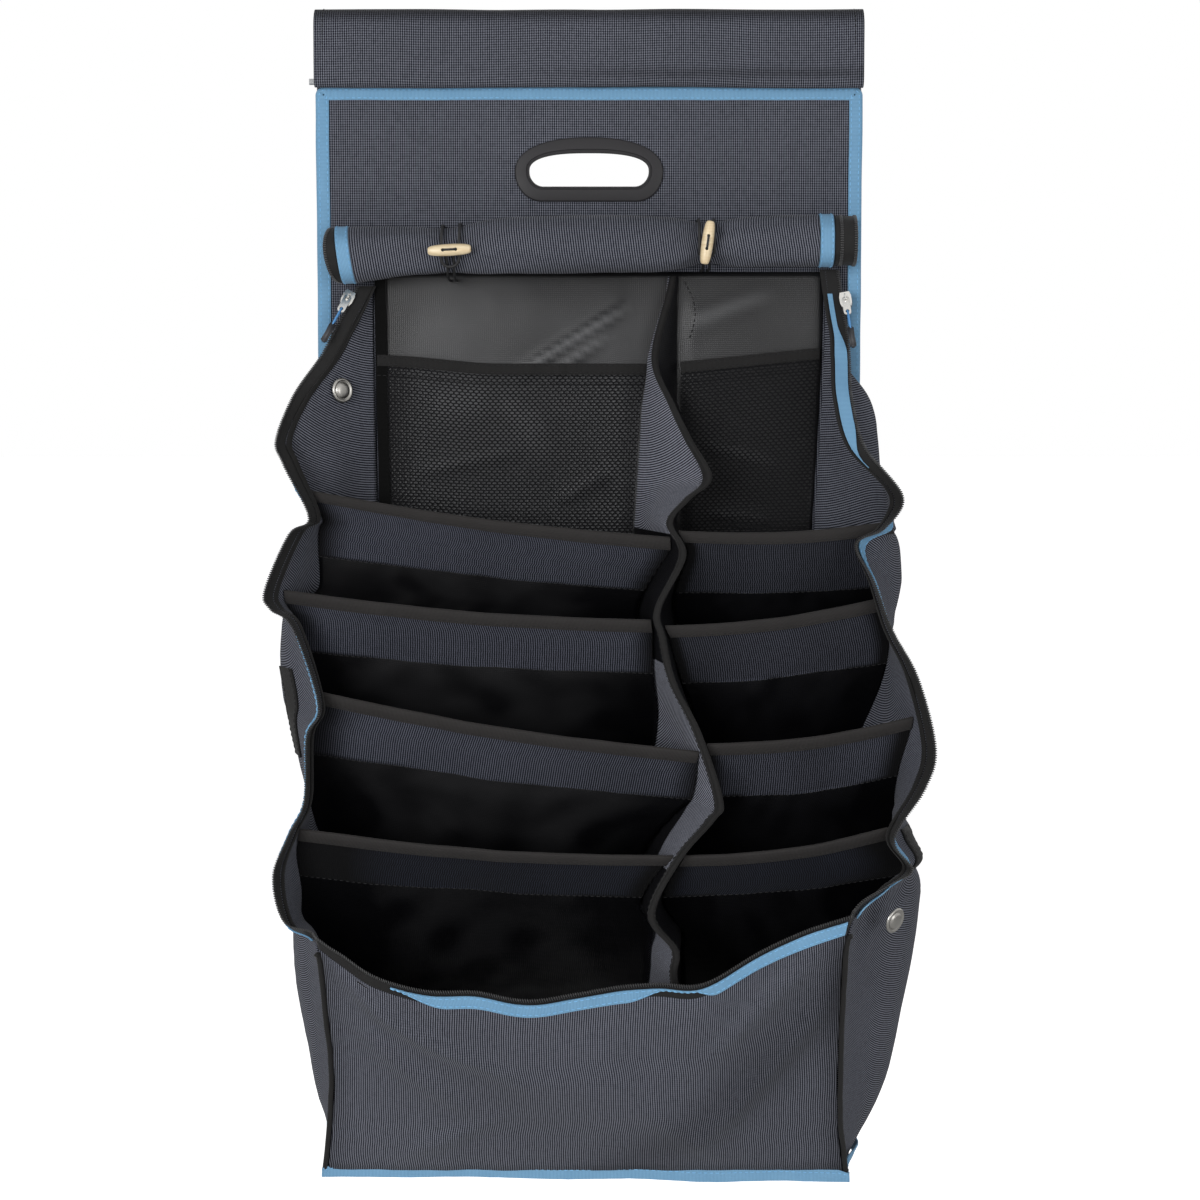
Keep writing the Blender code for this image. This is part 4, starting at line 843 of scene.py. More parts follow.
# Share of the height and how wide the blue trim shows there
LEFT_TRIM = [(0.165, 0.15), (0.185, 0.9), (0.238, 1.0), (0.254, 0.2), (0.36, 0.15), (0.39, 0.8)]
LEFT_TRIM += [(0.47, 1.0), (0.50, 0.6), (0.54, 0.2), (0.575, 0.9), (0.61, 0.8), (0.635, 0.15)]
LEFT_TRIM += [(1.0, 0.15)]
RIGHT_TRIM = [(0.232, 0.2), (0.252, 0.9), (0.270, 1.0), (0.286, 0.45), (0.325, 0.3), (0.37, 0.2)]
RIGHT_TRIM += [(0.41, 0.35), (0.44, 0.15), (0.52, 0.15), (0.535, 0.35), (0.56, 0.15)]
RIGHT_TRIM += [(0.595, 0.6), (0.62, 0.9), (0.645, 0.5), (0.665, 0.9), (1.0, 0.9)]
LEFT = Gusset(-1, 0.1705, 0.0045, LEFT_CURL, LEFT_EDGE, 19)
RIGHT = Gusset(1, 0.1795, 0.0115, RIGHT_CURL, RIGHT_EDGE, 18)
WALLS = {"left": LEFT, "right": RIGHT}


def zip_half(name, frames, node):
    """Zip tape with a sewn edge, and its coil of teeth as a wound thread."""
    inner, outer, half = -0.004, 0.0105, 0.0003
    tape = [(inner, -half), (outer, -half), (outer, half), (inner, half)]
    swept(name, frames, tape, [TAPE], slot="black_band", nodes=[node])

    pitch, per_turn = 0.0018, 8
    wide, high, wire_radius = 0.00135, 0.0010, 0.00042
    centres = [origin + across * 0.0106 for origin, across, _ in frames]
    run = run_along(centres)
    count = int(run[-1] / pitch * per_turn)
    points = []
    at = 0
    for i in range(count + 1):
        want = min(run[-1] * i / count, run[-1] - 1e-7)
        while run[at + 1] < want:
            at += 1
        t = (want - run[at]) / (run[at + 1] - run[at])
        across = frames[at][1].lerp(frames[at + 1][1], t).normalized()
        out = frames[at][2].lerp(frames[at + 1][2], t).normalized()
        angle = 2 * math.pi * i / per_turn
        off = across * wide * math.cos(angle) + out * high * math.sin(angle)
        points.append(centres[at].lerp(centres[at + 1], t) + off)
    bm = bmesh.new()
    rings = []
    side = None
    for i, spot in enumerate(points):
        along = (points[min(i + 1, count)] - points[max(i - 1, 0)]).normalized()
        side = carried(side, along)
        other = along.cross(side)
        around = (side, other, -side, -other)
        rings.append([bm.verts.new(spot + off * wire_radius) for off in around])
    skin(bm, rings)
    new_piece(name + "_teeth", mesh_of(bm, name + "_teeth"), [TEETH], slot="black_band")


def band(name, frames, low, high, material, slot, nodes=(), thickness=0.0009, rise=0.0006):
    """A sewn band with a slightly rounded face, from low to high across its frames."""
    profile = []
    for i in range(7):
        t = i / 6
        crown = rise * math.sin(math.pi * t) ** 0.5 * 0.5
        profile.append((low + (high - low) * t, thickness / 2 + crown))
    profile += [(high, -thickness / 2), (low, -thickness / 2)]
    return swept(name, frames, profile, [material], slot=slot, nodes=nodes)


def gussets():
    """Both side walls with their zips, inner tapes and blue trims."""
    reach = 0.0016
    sides = (("left", LEFT, 6, LEFT_TRIM), ("right", RIGHT, 7, RIGHT_TRIM))
    for word, wall, first, widths in sides:
        wall.cloth(f"side_{word}", f"gusset_{word}")
        zip_half(f"zip_{word}_tape", [wall.frame(i) for i in range(wall.corner)], f"zip_{word}")
        inner = []
        for index in range(wall.corner):
            origin, across, out = wall.frame(index, behind=0.0001, turned_out=False)
            inner.append((origin - out * reach, across, -out))
        band(f"inner_tape_{word}", inner, -0.0045, 0.0005, BLACK, "black_band")
        lines = []
        for index in range(first * wall.steps, wall.corner):
            lines.append(wall.trim_row(index, lookup(widths, wall.rows[index][0])[0]))
        rows = [[spot + out * 0.0021 for spot in row] for row, out in lines]
        more = {"slot": "blue_band", "nodes": [f"trim_{word}"]}
        cloth(f"side_trim_{word}", rows, 0.0010, [BLUE], **more)
        outs = [out for _, out in lines]
        sew_rows(f"side_trim_{word}_seam", rows, outs, 0.0008, THREAD_BLUE, "blue_band")
    frames = []
    for index in range(RIGHT.steps, 6 * RIGHT.steps + 4):
        origin, across, out = RIGHT.frame(index)
        share = RIGHT.rows[index][0]
        wide = (0.40 + 0.60 * ramp(share, 0.036, 0.070)) * (1 - ramp(share, 0.150, 0.200))
        frames.append((origin - out * reach, across * max(wide, 0.08), -out))
    band("side_trim_upper", frames, -0.0004, 0.0094, BLUE, "blue_band", ["trim_right_upper"])


def sew_rows(name, rows, outs, rise, material, slot):
    """Two seams along a strip of rows, just inside its edges."""
    lines = []
    for k in (1, len(rows[0]) - 2):
        lines.append(([row[k] + out * rise for row, out in zip(rows, outs)], outs))
    stitches(name, lines, material, slot=slot)


# Back panel, its lining, binding and handle


def handle_outline(width, height, grow=0.0, steps=14):
    """The handle's outline: a full low arch over a flat foot with round corners."""
    full = 0.77 if height < 0.04 else 0.88
    w = (width + grow) / 2
    rise = height * 0.54 + grow / 2
    fall = height * 0.46 + grow / 2
    middle = HANDLE_Z - height * 0.04
    corner = height * 0.42 + grow / 2
    points = []
    for i in range(4 * steps + 1):
        a = math.pi * i / (4 * steps)
        across = math.copysign(abs(math.cos(a)) ** full, math.cos(a))
        points.append((w * across, middle + rise * math.sin(a) ** full))
    for side, first, skipped in ((-1, 180, 1), (1, 270, 0)):
        for i in range(skipped, steps + skipped):
            a = math.radians(first + 90 * i / steps)
            points.append((side * (w - corner) + corner * math.cos(a), middle + fall * math.sin(a)))
    return points


def back_board():
    """The stiff panel: textile on both faces, with the slot of the handle cut out."""
    half = PANEL_WIDTH / 2
    outline = [(-half, PANEL_FOOT), (half, PANEL_FOOT), (half, PANEL_TOP), (-half, PANEL_TOP)]
    curve = bpy.data.curves.new("back_board", "CURVE")
    curve.dimensions = "2D"
    curve.fill_mode = "BOTH"
    curve.extrude = PANEL_FACE
    for points in (outline, handle_outline(*HANDLE_SLOT, 0.0046, 10)):
        spline = curve.splines.new("POLY")
        spline.points.add(len(points) - 1)
        spline.use_cyclic_u = True
        for point, (x, z) in zip(spline.points, points):
            point.co = (x, z, 0, 1)
    made = bpy.data.objects.new("outline", curve)
    bpy.context.scene.collection.objects.link(made)
    graph = bpy.context.evaluated_depsgraph_get()
    data = bpy.data.meshes.new_from_object(made.evaluated_get(graph))
    bpy.data.objects.remove(made)
    data.transform(Matrix.Rotation(math.pi / 2, 4, "X"))
    while data.uv_layers:
        data.uv_layers.remove(data.uv_layers[0])
    layer = data.uv_layers.new(name="cloth")
    for loop in data.loops:
        place = data.vertices[loop.vertex_index].co
        layer.data[loop.index].uv = (place.x, place.z)
    data.materials.clear()
    return new_piece("back_board", data, [GRID_CLOTH], slot="canvas", nodes=["back_panel"])


def edge_path(half, top, foot, corner, steps=10):
    """Places and headings in degrees, up the right side, round the top and down the left."""
    tall = top - corner - foot
    path = [((half, foot + tall * i / 90), 0) for i in range(90)]
    for side, first in ((1, 0), (-1, 90)):
        for i in range(steps + 1):
            angle = first + 90 * i / steps
            a = math.radians(angle)
            x = side * (half - corner) + corner * math.cos(a)
            path.append(((x, top - corner + corner * math.sin(a)), angle))
        if side > 0:
            wide = 2 * (half - corner)
            path += [((half - corner - wide * i / 60, top), 90) for i in range(1, 60)]
    return path + [((-half, top - corner - tall * i / 90), 180) for i in range(1, 91)]


def board_binding():
    """Blue grosgrain folded over the panel's edge, slightly waved, with two seams a face."""
    waved = []
    for (x, z), angle in edge_path(PANEL_WIDTH / 2, PANEL_TOP, PANEL_FOOT, 0.006):
        a = math.radians(angle)
        across = Vector((math.cos(a), 0, math.sin(a)))
        shift = 0.0004 * rough(x * 30, z * 30, 2.0)
        waved.append((Vector((x, 0, z)) + across * shift, across, -FORWARD))
    width = 0.0095
    near = PANEL_FACE + GAP
    far = near + 0.0011
    front = [(-width, -near), (-width, -far + 0.0004), (-width + 0.0005, -far)]
    front += [(-width / 2, -far - 0.0001), (-0.0005, -far), (0.0008, -far + 0.0006)]
    front += [(0.0013, -0.0012)]
    profile = front + mirrored(front) + [(0.0003, near), (0.0003, -near)]
    swept("board_binding", waved, profile, [BLUE], slot="blue_band", nodes=["panel_binding"])
    lines = []
    for across_at in (-0.0080, -0.0016):
        for face in (-1, 1):
            lines.append(seam_line(waved, across_at, far, face))
    stitches("board_binding_seam", lines, THREAD_BLUE, slot="blue_band")


# Creases of the lining: a line of (x, z) places, its width and how far it stands out
CREASES = [
    (((-0.060, -0.276), (0.034, -0.218)), 0.0040, 0.0055),
    (((-0.036, -0.276), (0.014, -0.244)), 0.0030, 0.0040),
    (((-0.052, -0.332), (-0.142, -0.353)), 0.0060, 0.0040),
    (((0.020, -0.350), (-0.026, -0.377)), 0.0055, 0.0036),
    (((-0.048, -0.300), (-0.038, -0.325)), 0.0080, 0.0020),
    (((0.090, -0.330), (0.150, -0.345)), 0.0050, 0.0020),
    (((0.090, -0.385), (0.150, -0.392)), 0.0040, 0.0020),
    (((0.076, -0.236), (0.150, -0.205)), 0.0090, 0.0030),
    (((-0.070, -0.290), (-0.030, -0.345)), 0.0120, 0.0020),
    (((-0.130, -0.300), (-0.080, -0.290)), 0.0160, 0.0020),
]


def wall_relief(x, z):
    """How far the lining stands off the back board: a few soft creases and dents."""
    depth = 0.0016 + 0.0013 * rough(x * 11, z * 13, 4.0) + 0.0005 * rough(x * 40, z * 35, 8.0)
    for line, width, height in CREASES:
        depth += height * crease(x, z, line, width)
    return max(depth, 0.0006)


def lining():
    """The black lining of the back wall, free of the board between its seams."""
    top, foot = BAG_TOP + 0.018, PANEL_FOOT + 0.004
    lines, columns = 149, 95
    rows = []
    for i in range(lines + 1):
        z = top + (foot - top) * i / lines
        low_x, high_x = 0.002 - LEFT.seam_at(z), RIGHT.seam_at(z) - 0.002
        row = []
        for j in range(columns + 1):
            x = low_x + (high_x - low_x) * j / columns
            free = math.sin(math.pi * j / columns) ** 0.4 * ramp(top - z, 0.0, 0.03)
            free *= ramp(abs(x - COLUMN_SPLIT), 0.019, 0.030)
            row.append(Vector((x, -PANEL_FACE - HALF_CLOTH - wall_relief(x, z) * free, z)))
        rows.append(row)
    held = {"held": "stretched", "rests_on": ["back_board"]}

    def painted_shading(i, j):
        """Painted shade on the lining: shadow of the side walls, roll, centre divider, nets and
        pockets, and painted highlights along the creases.
        """
        spot = rows[i][j]
        left = 1 - ramp(spot.x + LEFT.seam_at(spot.z), 0.008, 0.040)
        right = (1 - ramp(RIGHT.seam_at(spot.z) - spot.x, 0.0, 0.075)) * ramp(-spot.z, 0.25, 0.42)
        roll = 1 - ramp(-spot.z, 0.196, 0.240)
        low = ramp(-spot.z, 0.34, 0.47)
        beside = 0.5 * hump(spot.x, 0.074, 0.012)
        # The plain lining gets an even painted shade, less on the left and behind the left net; the
        # creases are left unshaded as painted highlights, most behind the left net.
        sheen = sum(crease(spot.x, spot.z, line, width * 0.8) for line, width, _ in CREASES)
        plain = 0.885 - 0.060 * ramp(-spot.x, 0.0, 0.12) + 0.025 * ramp(spot.x, -0.02, 0.15)
        plain += 0.07 * rough(spot.x * 14, spot.z * 14, 5.0)
        netted = ramp(-spot.z, 0.262, 0.275)
        left_net = netted * (1 - ramp(spot.x, 0.03, 0.06))
        plain = clamp(plain * (1 - 0.62 * left_net))
        plain *= 1 - clamp((0.30 + 0.65 * left_net) * sheen)
        low *= 0.25 + 0.55 * ramp(spot.x, 0.03, 0.06)
        lit = (1 - left * 0.95) * (1 - right * 0.85) * (1 - roll * 0.65)
        return 1 - lit * (1 - low) * (1 - beside) * (1 - plain)

    more = {"slot": "lining", "nodes": ["back_lining"], "dark": painted_shading}
    cloth("wall_lining", rows, 0.0005, [LINING], **more, **held)
    # A near-black band along the lining's left seam: painted shadow of the side wall on the lining.
    frames = []
    for i in range(81):
        z = top + (-0.560 - top) * i / 80
        spot = Vector((0.0022 - LEFT.seam_at(z), -PANEL_FACE - 0.0052, z))
        frames.append((spot, Vector((1, 0, 0)), FORWARD))
    band("wall_shadow_band_left", frames, 0.0, 0.0090, SHADOW_BAND_BLACK, "black_band", rise=0.0003)
    bow = [(0.0770, 0, -0.200), (0.0838, 0, -0.214), (0.0852, 0, -0.229), (0.0805, 0, -0.247)]
    bow = [Vector((q.x, -PANEL_FACE - 0.0014 - wall_relief(q.x, q.z), q.z)) for q in curved(bow)]
    stitches("wall_stitch", [(bow, [FORWARD] * len(bow))], THREAD_BLACK, slot="lining")


def handle():
    """Moulded ring: a flange with a rounded edge, a step and a rim round the grip slot."""
    steps = 16
    outer = handle_outline(*HANDLE_FLANGE, 0.0, steps)
    inner = handle_outline(*HANDLE_SLOT, 0.0, steps)
    face = [(0.00, GAP), (0.00, 0.0018), (0.03, 0.0025), (0.10, 0.0028), (0.78, 0.0029)]
    face += [(0.82, 0.0020), (0.87, 0.0020), (0.90, 0.0028), (0.97, 0.0027), (1.00, 0.0020)]
    collar = [(1.00, -0.0050), (0.84, -0.0050)]
    rings = (("handle_ring", "handle_front", -1), ("handle_rear", "handle_back", 1))
    for name, node, side in rings:
        bm = bmesh.new()
        grid = []
        for t, height in face + (collar if side < 0 else [(1.00, GAP)]):
            ring = []
            for (x0, z0), (x1, z1) in zip(outer, inner):
                y = side * (PANEL_FACE + height)
                ring.append(bm.verts.new((x0 + (x1 - x0) * t, y, z0 + (z1 - z0) * t)))
            grid.append(ring)
        skin(bm, grid)
        bmesh.ops.remove_doubles(bm, verts=bm.verts, dist=1e-6)
        bmesh.ops.recalc_face_normals(bm, faces=bm.faces)
        new_piece(name, mesh_of(bm, name, 50), [PLASTIC], slot="plastic", nodes=[node])


# Sleeve, flap and strips


def sleeve():
    """The leaf that hangs over the pole, its rear flap and the hook and loop strips between."""
    radius = 0.0154
    half = 0.2186
    tail = PANEL_FACE + 3 * HALF_CLOTH
    foot = PANEL_TOP - 0.018
    path = [(tail, foot), (tail, -0.0440), (0.0026, -0.0427), (-0.0026, -0.0427)]
    path += [(-0.0052, -0.0445), (-0.0077, -0.0458), (-0.0120, -0.0458), (-0.0146, -0.0432)]
    path += [(-radius, -0.0393), (-radius, -0.024)]
    for i in range(25):
        a = math.pi * i / 24
        path.append((-radius * math.cos(a), radius * math.sin(a)))
    path.append((radius, -0.008))
    points = spaced([Vector((0, y, z)) for y, z in path], 0.0028)
    columns = 100
    rows = []
    for p in points:
        out = Vector((0, p.y, p.z + 0.004)).normalized()
        hangs = ramp(-p.z, 0.012, 0.03) if p.y < 0 and p.z < -0.012 else 0
        row = []
        for i in range(columns + 1):
            x = -half + 2 * half * i / columns
            soft = 0.0007 * rough(x * 14, p.z * 30 + p.y * 30, 1.5)
            droop = 0.0008 * math.sin(x * 21 + 0.7) * hangs
            row.append(p + out * soft + Vector((x, -abs(droop), droop * 0.6)))
        rows.append(row)

    def painted_shading(i, j):
        """Painted shade along the top of the arch and over the rod."""
        spot = rows[i][j]
        over_rod = hump(spot.z, -0.036, 0.004) * ramp(spot.x, -0.12, 0.10)
        return (0.75 * ramp(spot.z, 0.001, 0.015) + 0.35 * over_rod) * (1 if spot.y < 0.004 else 0)

    more = {"slot": "canvas", "nodes": ["sleeve"], "dark": painted_shading}
    cloth("sleeve_cloth", rows, CANVAS, [GRID_CLOTH], "hung", ["sleeve_rod"], **more)
    front = []
    for side in (-1, 1):
        line = [p for p in points if p.z > -0.030]
        normals = [Vector((0, p.y, max(p.z, 0.0))).normalized() for p in line]
        aside = Vector((side * (half - 0.007), 0, 0))
        front.append(([p + n * HALF_CLOTH + aside for p, n in zip(line, normals)], normals))
    stitches("sleeve_hems", front, THREAD_BLACK, slot="canvas")

    loop_at = tail + HALF_CLOTH + GAP + STRIP / 2
    hook_at = loop_at + STRIP + GAP
    flap_at = hook_at + STRIP / 2 + GAP + HALF_CLOTH
    flap = [(radius, -0.0083), (radius, -0.0183), (flap_at + 0.003, -0.032), (flap_at, -0.040)]
    flap += [(flap_at, foot - 0.001)]
    columns = 80
    rows = []
    for p in spaced([Vector((0, y, z)) for y, z in flap], 0.003):
        row = []
        for i in range(columns + 1):
            x = -half + 2 * half * i / columns
            soft = 0.0012 * rough(x * 12, p.z * 20, 6.5) * ramp(-p.z, 0.009, 0.03)
            row.append(p + Vector((x, max(soft, -0.0002), 0)))
        rows.append(row)
    more = {"slot": "canvas", "nodes": ["sleeve_flap"], "body": "flap"}
    cloth("flap_cloth", rows, CANVAS, [GRID_CLOTH], "hung", ["sleeve_cloth"], **more)
    back = []
    for z in (-0.0505, -0.0625):
        wide = half - 0.004
        line = [Vector((-wide + 2 * wide * i / 60, flap_at + 0.0009, z)) for i in range(61)]
        back.append((line, [-FORWARD] * 61))
    stitches("flap_seam", back, THREAD_BLACK, slot="canvas", body="flap")
    for name, node, body, y in (
        ("loop_strip", "sleeve_loop_strip", "bag", loop_at),
        ("hook_strip", "flap_hook_strip", "flap", hook_at),
    ):
        frames = []
        for i in range(41):
            x = -0.213 + 0.426 * i / 40
            frames.append((Vector((x, y, foot + 0.008)), UP, -FORWARD))
        profile = [(-0.007, -0.0007), (0.007, -0.0007), (0.007, 0.0007), (-0.007, 0.0007)]
        swept(name, frames, profile, [BLACK], slot="black_band", nodes=[node], body=body)


# Front panel with its zip, trim and piping


DROOP_FINE = smooth(FRONT_DROOP, 8)
# Folds of the front: a line of places across and down in metres, its width and its height
FRONT_FOLDS = [
    (((0.010, 0.006), (0.165, 0.090)), 0.0090, 0.0085),
    (((0.020, 0.045), (0.130, 0.140)), 0.0110, 0.0060),
    (((0.410, 0.050), (0.290, 0.185)), 0.0100, 0.0085),
    (((0.400, 0.010), (0.300, 0.080)), 0.0110, 0.0060),
    (((0.060, 0.190), (0.150, 0.130)), 0.0090, 0.0050),
    (((0.220, 0.030), (0.250, 0.130)), 0.0140, 0.0040),
    (((0.330, 0.200), (0.250, 0.120)), 0.0110, 0.0040),
]


class FrontPanel:
    """The front wall: a drooping top edge, soft slanting folds and puckers along its seams."""

    def __init__(self):
        self.seams = []
        for wall in (LEFT, RIGHT):
            self.seams.append([wall.point(row, 1.0) for row in wall.rows[wall.corner :]])

    def seam(self, which, v):
        """A place on the left (0) or right (1) corner seam, v running down from the top."""
        points = self.seams[which]
        z = points[0].z + (points[-1].z - points[0].z) * v
        for upper, lower in zip(points, points[1:]):
            if z >= lower.z - 1e-9:
                return upper.lerp(lower, (z - upper.z) / (lower.z - upper.z))
        return points[-1]

    def fold(self, u, v):
        """How far the cloth stands out of the flat front."""
        middle = math.sin(math.pi * clamp(u))
        crown = 0.008 * middle * math.sin(math.pi * min(v * 0.9 + 0.08, 1.0))
        slant = math.sin(2 * math.pi * (1.4 * u - 1.1 * v + 0.1)) * math.sin(math.pi * v)
        depth = crown + 0.0050 * slant * middle
        x = u * 0.42
        z = v * 0.21
        for line, width, height in FRONT_FOLDS:
            depth += height * crease(x, z, line, width, (-0.1, 0.3), (0.6, 1.1))
        low = hump(v, 1.0, 0.10) * ramp(1 - v, 0.0, 0.03)
        depth += 0.0036 * low * rough(x * 38, 3.0, 1.0)
        sides = hump(u, 0.0, 0.05) + hump(u, 1.0, 0.05)
        depth += 0.0012 * sides * rough(z * 60, 7.0, u * 2)
        depth += 0.0009 * rough(x * 22, z * 22, 4.4) * middle
        return depth + 0.0010 * hump(v, 0.0, 0.10) * rough(x * 40, 5.0, 2.0) * middle

    def point(self, u, v, down=0.0):
        """A place on the front; down lowers its top edge, as for the cloth behind the zip."""
        place = self.seam(0, v).lerp(self.seam(1, v), u)
        place.z -= lookup(DROOP_FINE, u)[0] * (1 - v) + down * (1 - v)
        place.y -= self.fold(u, v)
        return place

    def span(self, steps):
        """Shares of the width from one corner inset to the other."""
        inset = EDGE_INSET / PANEL_WIDTH
        return [inset + (1 - 2 * inset) * i / steps for i in range(steps + 1)]


FRONT = FrontPanel()


def front_panel():
    """The front's cloth, its zip with a bridge to each side zip, blue trim and pipings."""
    columns, lines = 130, 64
    rows = []
    for i in range(lines + 1):
        rows.append([FRONT.point(u, i / lines, ZIP_TAPE) for u in FRONT.span(columns)])
    held = {"held": "hung", "rests_on": ["piping_left_cord", "piping_right_cord"]}

    def painted_shading(i, j):
        """Painted shade along one slant, at both sides, towards the right and at the foot."""
        u, v = j / columns, i / lines
        wear_and_shade = 0.30 * hump(u + 0.55 * v, 1.12, 0.10)
        side_shade = 0.25 * hump(u, 0.0, 0.03) + 0.30 * hump(u, 1.0, 0.03)
        return wear_and_shade + side_shade + 0.12 * ramp(u, 0.6, 1.0) + 0.30 * ramp(v, 0.93, 1.0)

    more = {"slot": "canvas", "nodes": ["front_panel"], "dark": painted_shading}
    cloth("front_cloth", rows, CANVAS, [LINE_CLOTH], **more, **held)

    steps = 260
    frames = []
    for u in FRONT.span(steps):
        place = FRONT.point(u, 0.0, ZIP_TAPE)
        across = (place - FRONT.point(u, 0.06, ZIP_TAPE)).normalized()
        frames.append((place, across, (FORWARD - across * across.dot(FORWARD)).normalized()))
    sides = []
    for wall in (LEFT, RIGHT):
        o, a, n = wall.frame(wall.corner - 1)
        spot, across, out = frames[0] if wall is LEFT else frames[-1]
        bridge = []
        for k in range(1, 9):
            t = k / 8
            turned = (across.lerp(a, t).normalized(), out.lerp(n, t).normalized())
            bridge.append((spot.lerp(o, t), *turned))
        sides.append(bridge)
    zip_half("zip_front_tape", sides[0][::-1] + frames + sides[1], "zip_front")
    trim = []
    for k in range(36, len(frames) - 1):
        e, a, n = frames[k]
        u = k / steps
        hidden = ramp(u, 0.58, 0.67) * (1 - ramp(u, 0.70, 0.76))
        wide = clamp(ramp(u, 0.13, 0.24) * (1 - hidden), 0.12, 1.0)
        trim.append((e + n * 0.0019 + a * 0.0078, a * wide, n))
    band("front_trim", trim, -0.0108, 0.0, BLUE, "blue_band", ["trim_front"])
    seams = [seam_line(trim, across_at, 0.0008) for across_at in (-0.0085, -0.0015)]
    stitches("front_trim_seam", seams, THREAD_BLUE, slot="blue_band")

    for word, wall in WALLS.items():
        points = [wall.point(row, 1.0) for row in wall.rows[wall.corner :]]
        points[-1] = points[-1] + UP * GAP
        points[0] = points[0] - UP * ZIP_TAPE / 2
        waved = []
        for p in points:
            waved.append(p + Vector((rough(p.z * 45, 1.0, wall.side) * 0.0008, 0, 0)))
        name = f"piping_{word}_cord"
        rope(name, waved, 0.0020, BLACK, slot="black_band", nodes=[f"piping_{word}"])


def bottom():
    """The bottom board under the lowest rows of the walls, and the blue band round it."""
    back = -PANEL_FACE - GAP
    foot = []
    rise = []
    for wall, turned in ((LEFT, False), (RIGHT, True)):
        low, high = wall.rows[-1], wall.rows[-wall.steps]
        shares = [i / 24 for i in range(25)]
        for t in shares[::-1] if turned else shares:
            spot = wall.point(low, t)
            spot.x += wall.side * HALF_CLOTH
            spot.y = min(spot.y, back)
            foot.append(Vector((spot.x, spot.y, PANEL_FOOT)))
            rise.append((wall.point(high, t) - wall.point(low, t)).normalized())
        if not turned:
            for i in range(1, 60):
                u = i / 60
                spot = FRONT.point(u, 1.0)
                foot.append(Vector((spot.x, spot.y, PANEL_FOOT)))
                rise.append(UP.copy())
    centre = Vector((0, -0.045, PANEL_FOOT))
    rows = []
    for layer in (0.0, 0.35, 0.7, 0.995):
        row = []
        for p in foot:
            sag = 0.0012 * (1 - layer) * rough(p.x * 9, p.y * 9, 2.0)
            row.append(centre.lerp(p, layer) + Vector((0, 0, 0.0015 + sag)))
        rows.append(row)
    held = {"held": "laid", "rests_on": ["foot_band"]}
    cloth("foot_board", rows, 0.0026, [LINE_CLOTH], slot="canvas", nodes=["bottom_panel"], **held)
    frames = []
    for i, spot in enumerate(foot):
        before = foot[max(i - 1, 0)]
        after = foot[min(i + 1, len(foot) - 1)]
        along = (after - before).normalized()
        out = along.cross(UP)
        if out.dot(spot - centre) < 0:
            out.negate()
        bump = 0.0007 * rough(i * 0.55, 2.0, 3.0) + 0.0004 * rough(i * 1.7, 8.0, 3.0)
        sink = 0.0012 + 0.0040 * ramp(spot.x, -0.15, 0.20) + 0.0016 * rough(spot.x * 16, 4.0, 1.0)
        sink *= ramp(-spot.y, 0.080, 0.097)
        frames.append((spot + out * (0.0019 + bump) - UP * sink, rise[i], out))
    band("foot_band", frames, 0.0, 0.0098, BLUE, "blue_band", ["bottom_binding"], rise=0.0010)
    stitches("foot_band_seam", [seam_line(frames, 0.0076, 0.0010)], THREAD_BLUE, slot="blue_band")


# Centre divider: two leaves sewn together at their front edge


# Z and X of the left leaf's seam on the back wall, and X of the right leaf's
LEFT_SEAM = [(-0.905, 0.037), (-0.520, 0.036), (-0.420, 0.0355), (-0.300, 0.043)]
LEFT_SEAM += [(-0.262, 0.049), (-0.240, 0.056), (-0.210, 0.0645), (-0.190, 0.0655)]
RIGHT_SEAM = 0.0705
CENTRE_ROWS = smooth(CENTRE_EDGE, 8)


def leaf_back(side, z):
    """X of a leaf's seam on the back wall."""
    return lookup(LEFT_SEAM, z)[0] if side < 0 else RIGHT_SEAM


def centre_edge(z):
    """Sway and depth of the centre divider's front edge at a height."""
    share = clamp((BAG_TOP - z) / BAG_HEIGHT)
    row = min(CENTRE_ROWS, key=lambda r: abs(r[0] - share))
    return COLUMN_SPLIT + row[2], row[1] * BAG_DEPTH


def front_y(x, z):
    """Where the front panel's inner face stands at a place, or None above its top edge."""
    corner, far_corner = FRONT.seam(0, 1.0), FRONT.seam(1, 1.0)
    u = clamp((x - corner.x) / (far_corner.x - corner.x))
    top = FRONT.seam(0, 0.0).z - lookup(DROOP_FINE, u)[0] - ZIP_TAPE
    if z > top:
        return None
    v = clamp((top - z) / (top - corner.z))
    return FRONT.point(u, v, ZIP_TAPE).y


def leaf_point(side, row, t):
    """A place on a leaf, t being 0 at the back wall and 1 at the bound edge."""
    share, depth, sway = row
    z = height_at(share)
    back = Vector((leaf_back(side, z), -PANEL_FACE - 0.0030, z))
    edge = Vector((COLUMN_SPLIT + sway + side * 0.0011, -depth * BAG_DEPTH, z))
    limit = front_y(edge.x, z)
    if limit is not None:
        edge.y = max(edge.y, limit + 0.0032)
    spot = back.lerp(edge, t)
    fade = math.sin(math.pi * t) ** 0.8
    spot.x += side * fade * (0.0022 + 0.0018 * rough(spot.y * 14, z * 12, side * 2.0))
    spot.x += side * fade * 0.0005 * rough(spot.y * 70, z * 60, side * 5.0)
    return spot


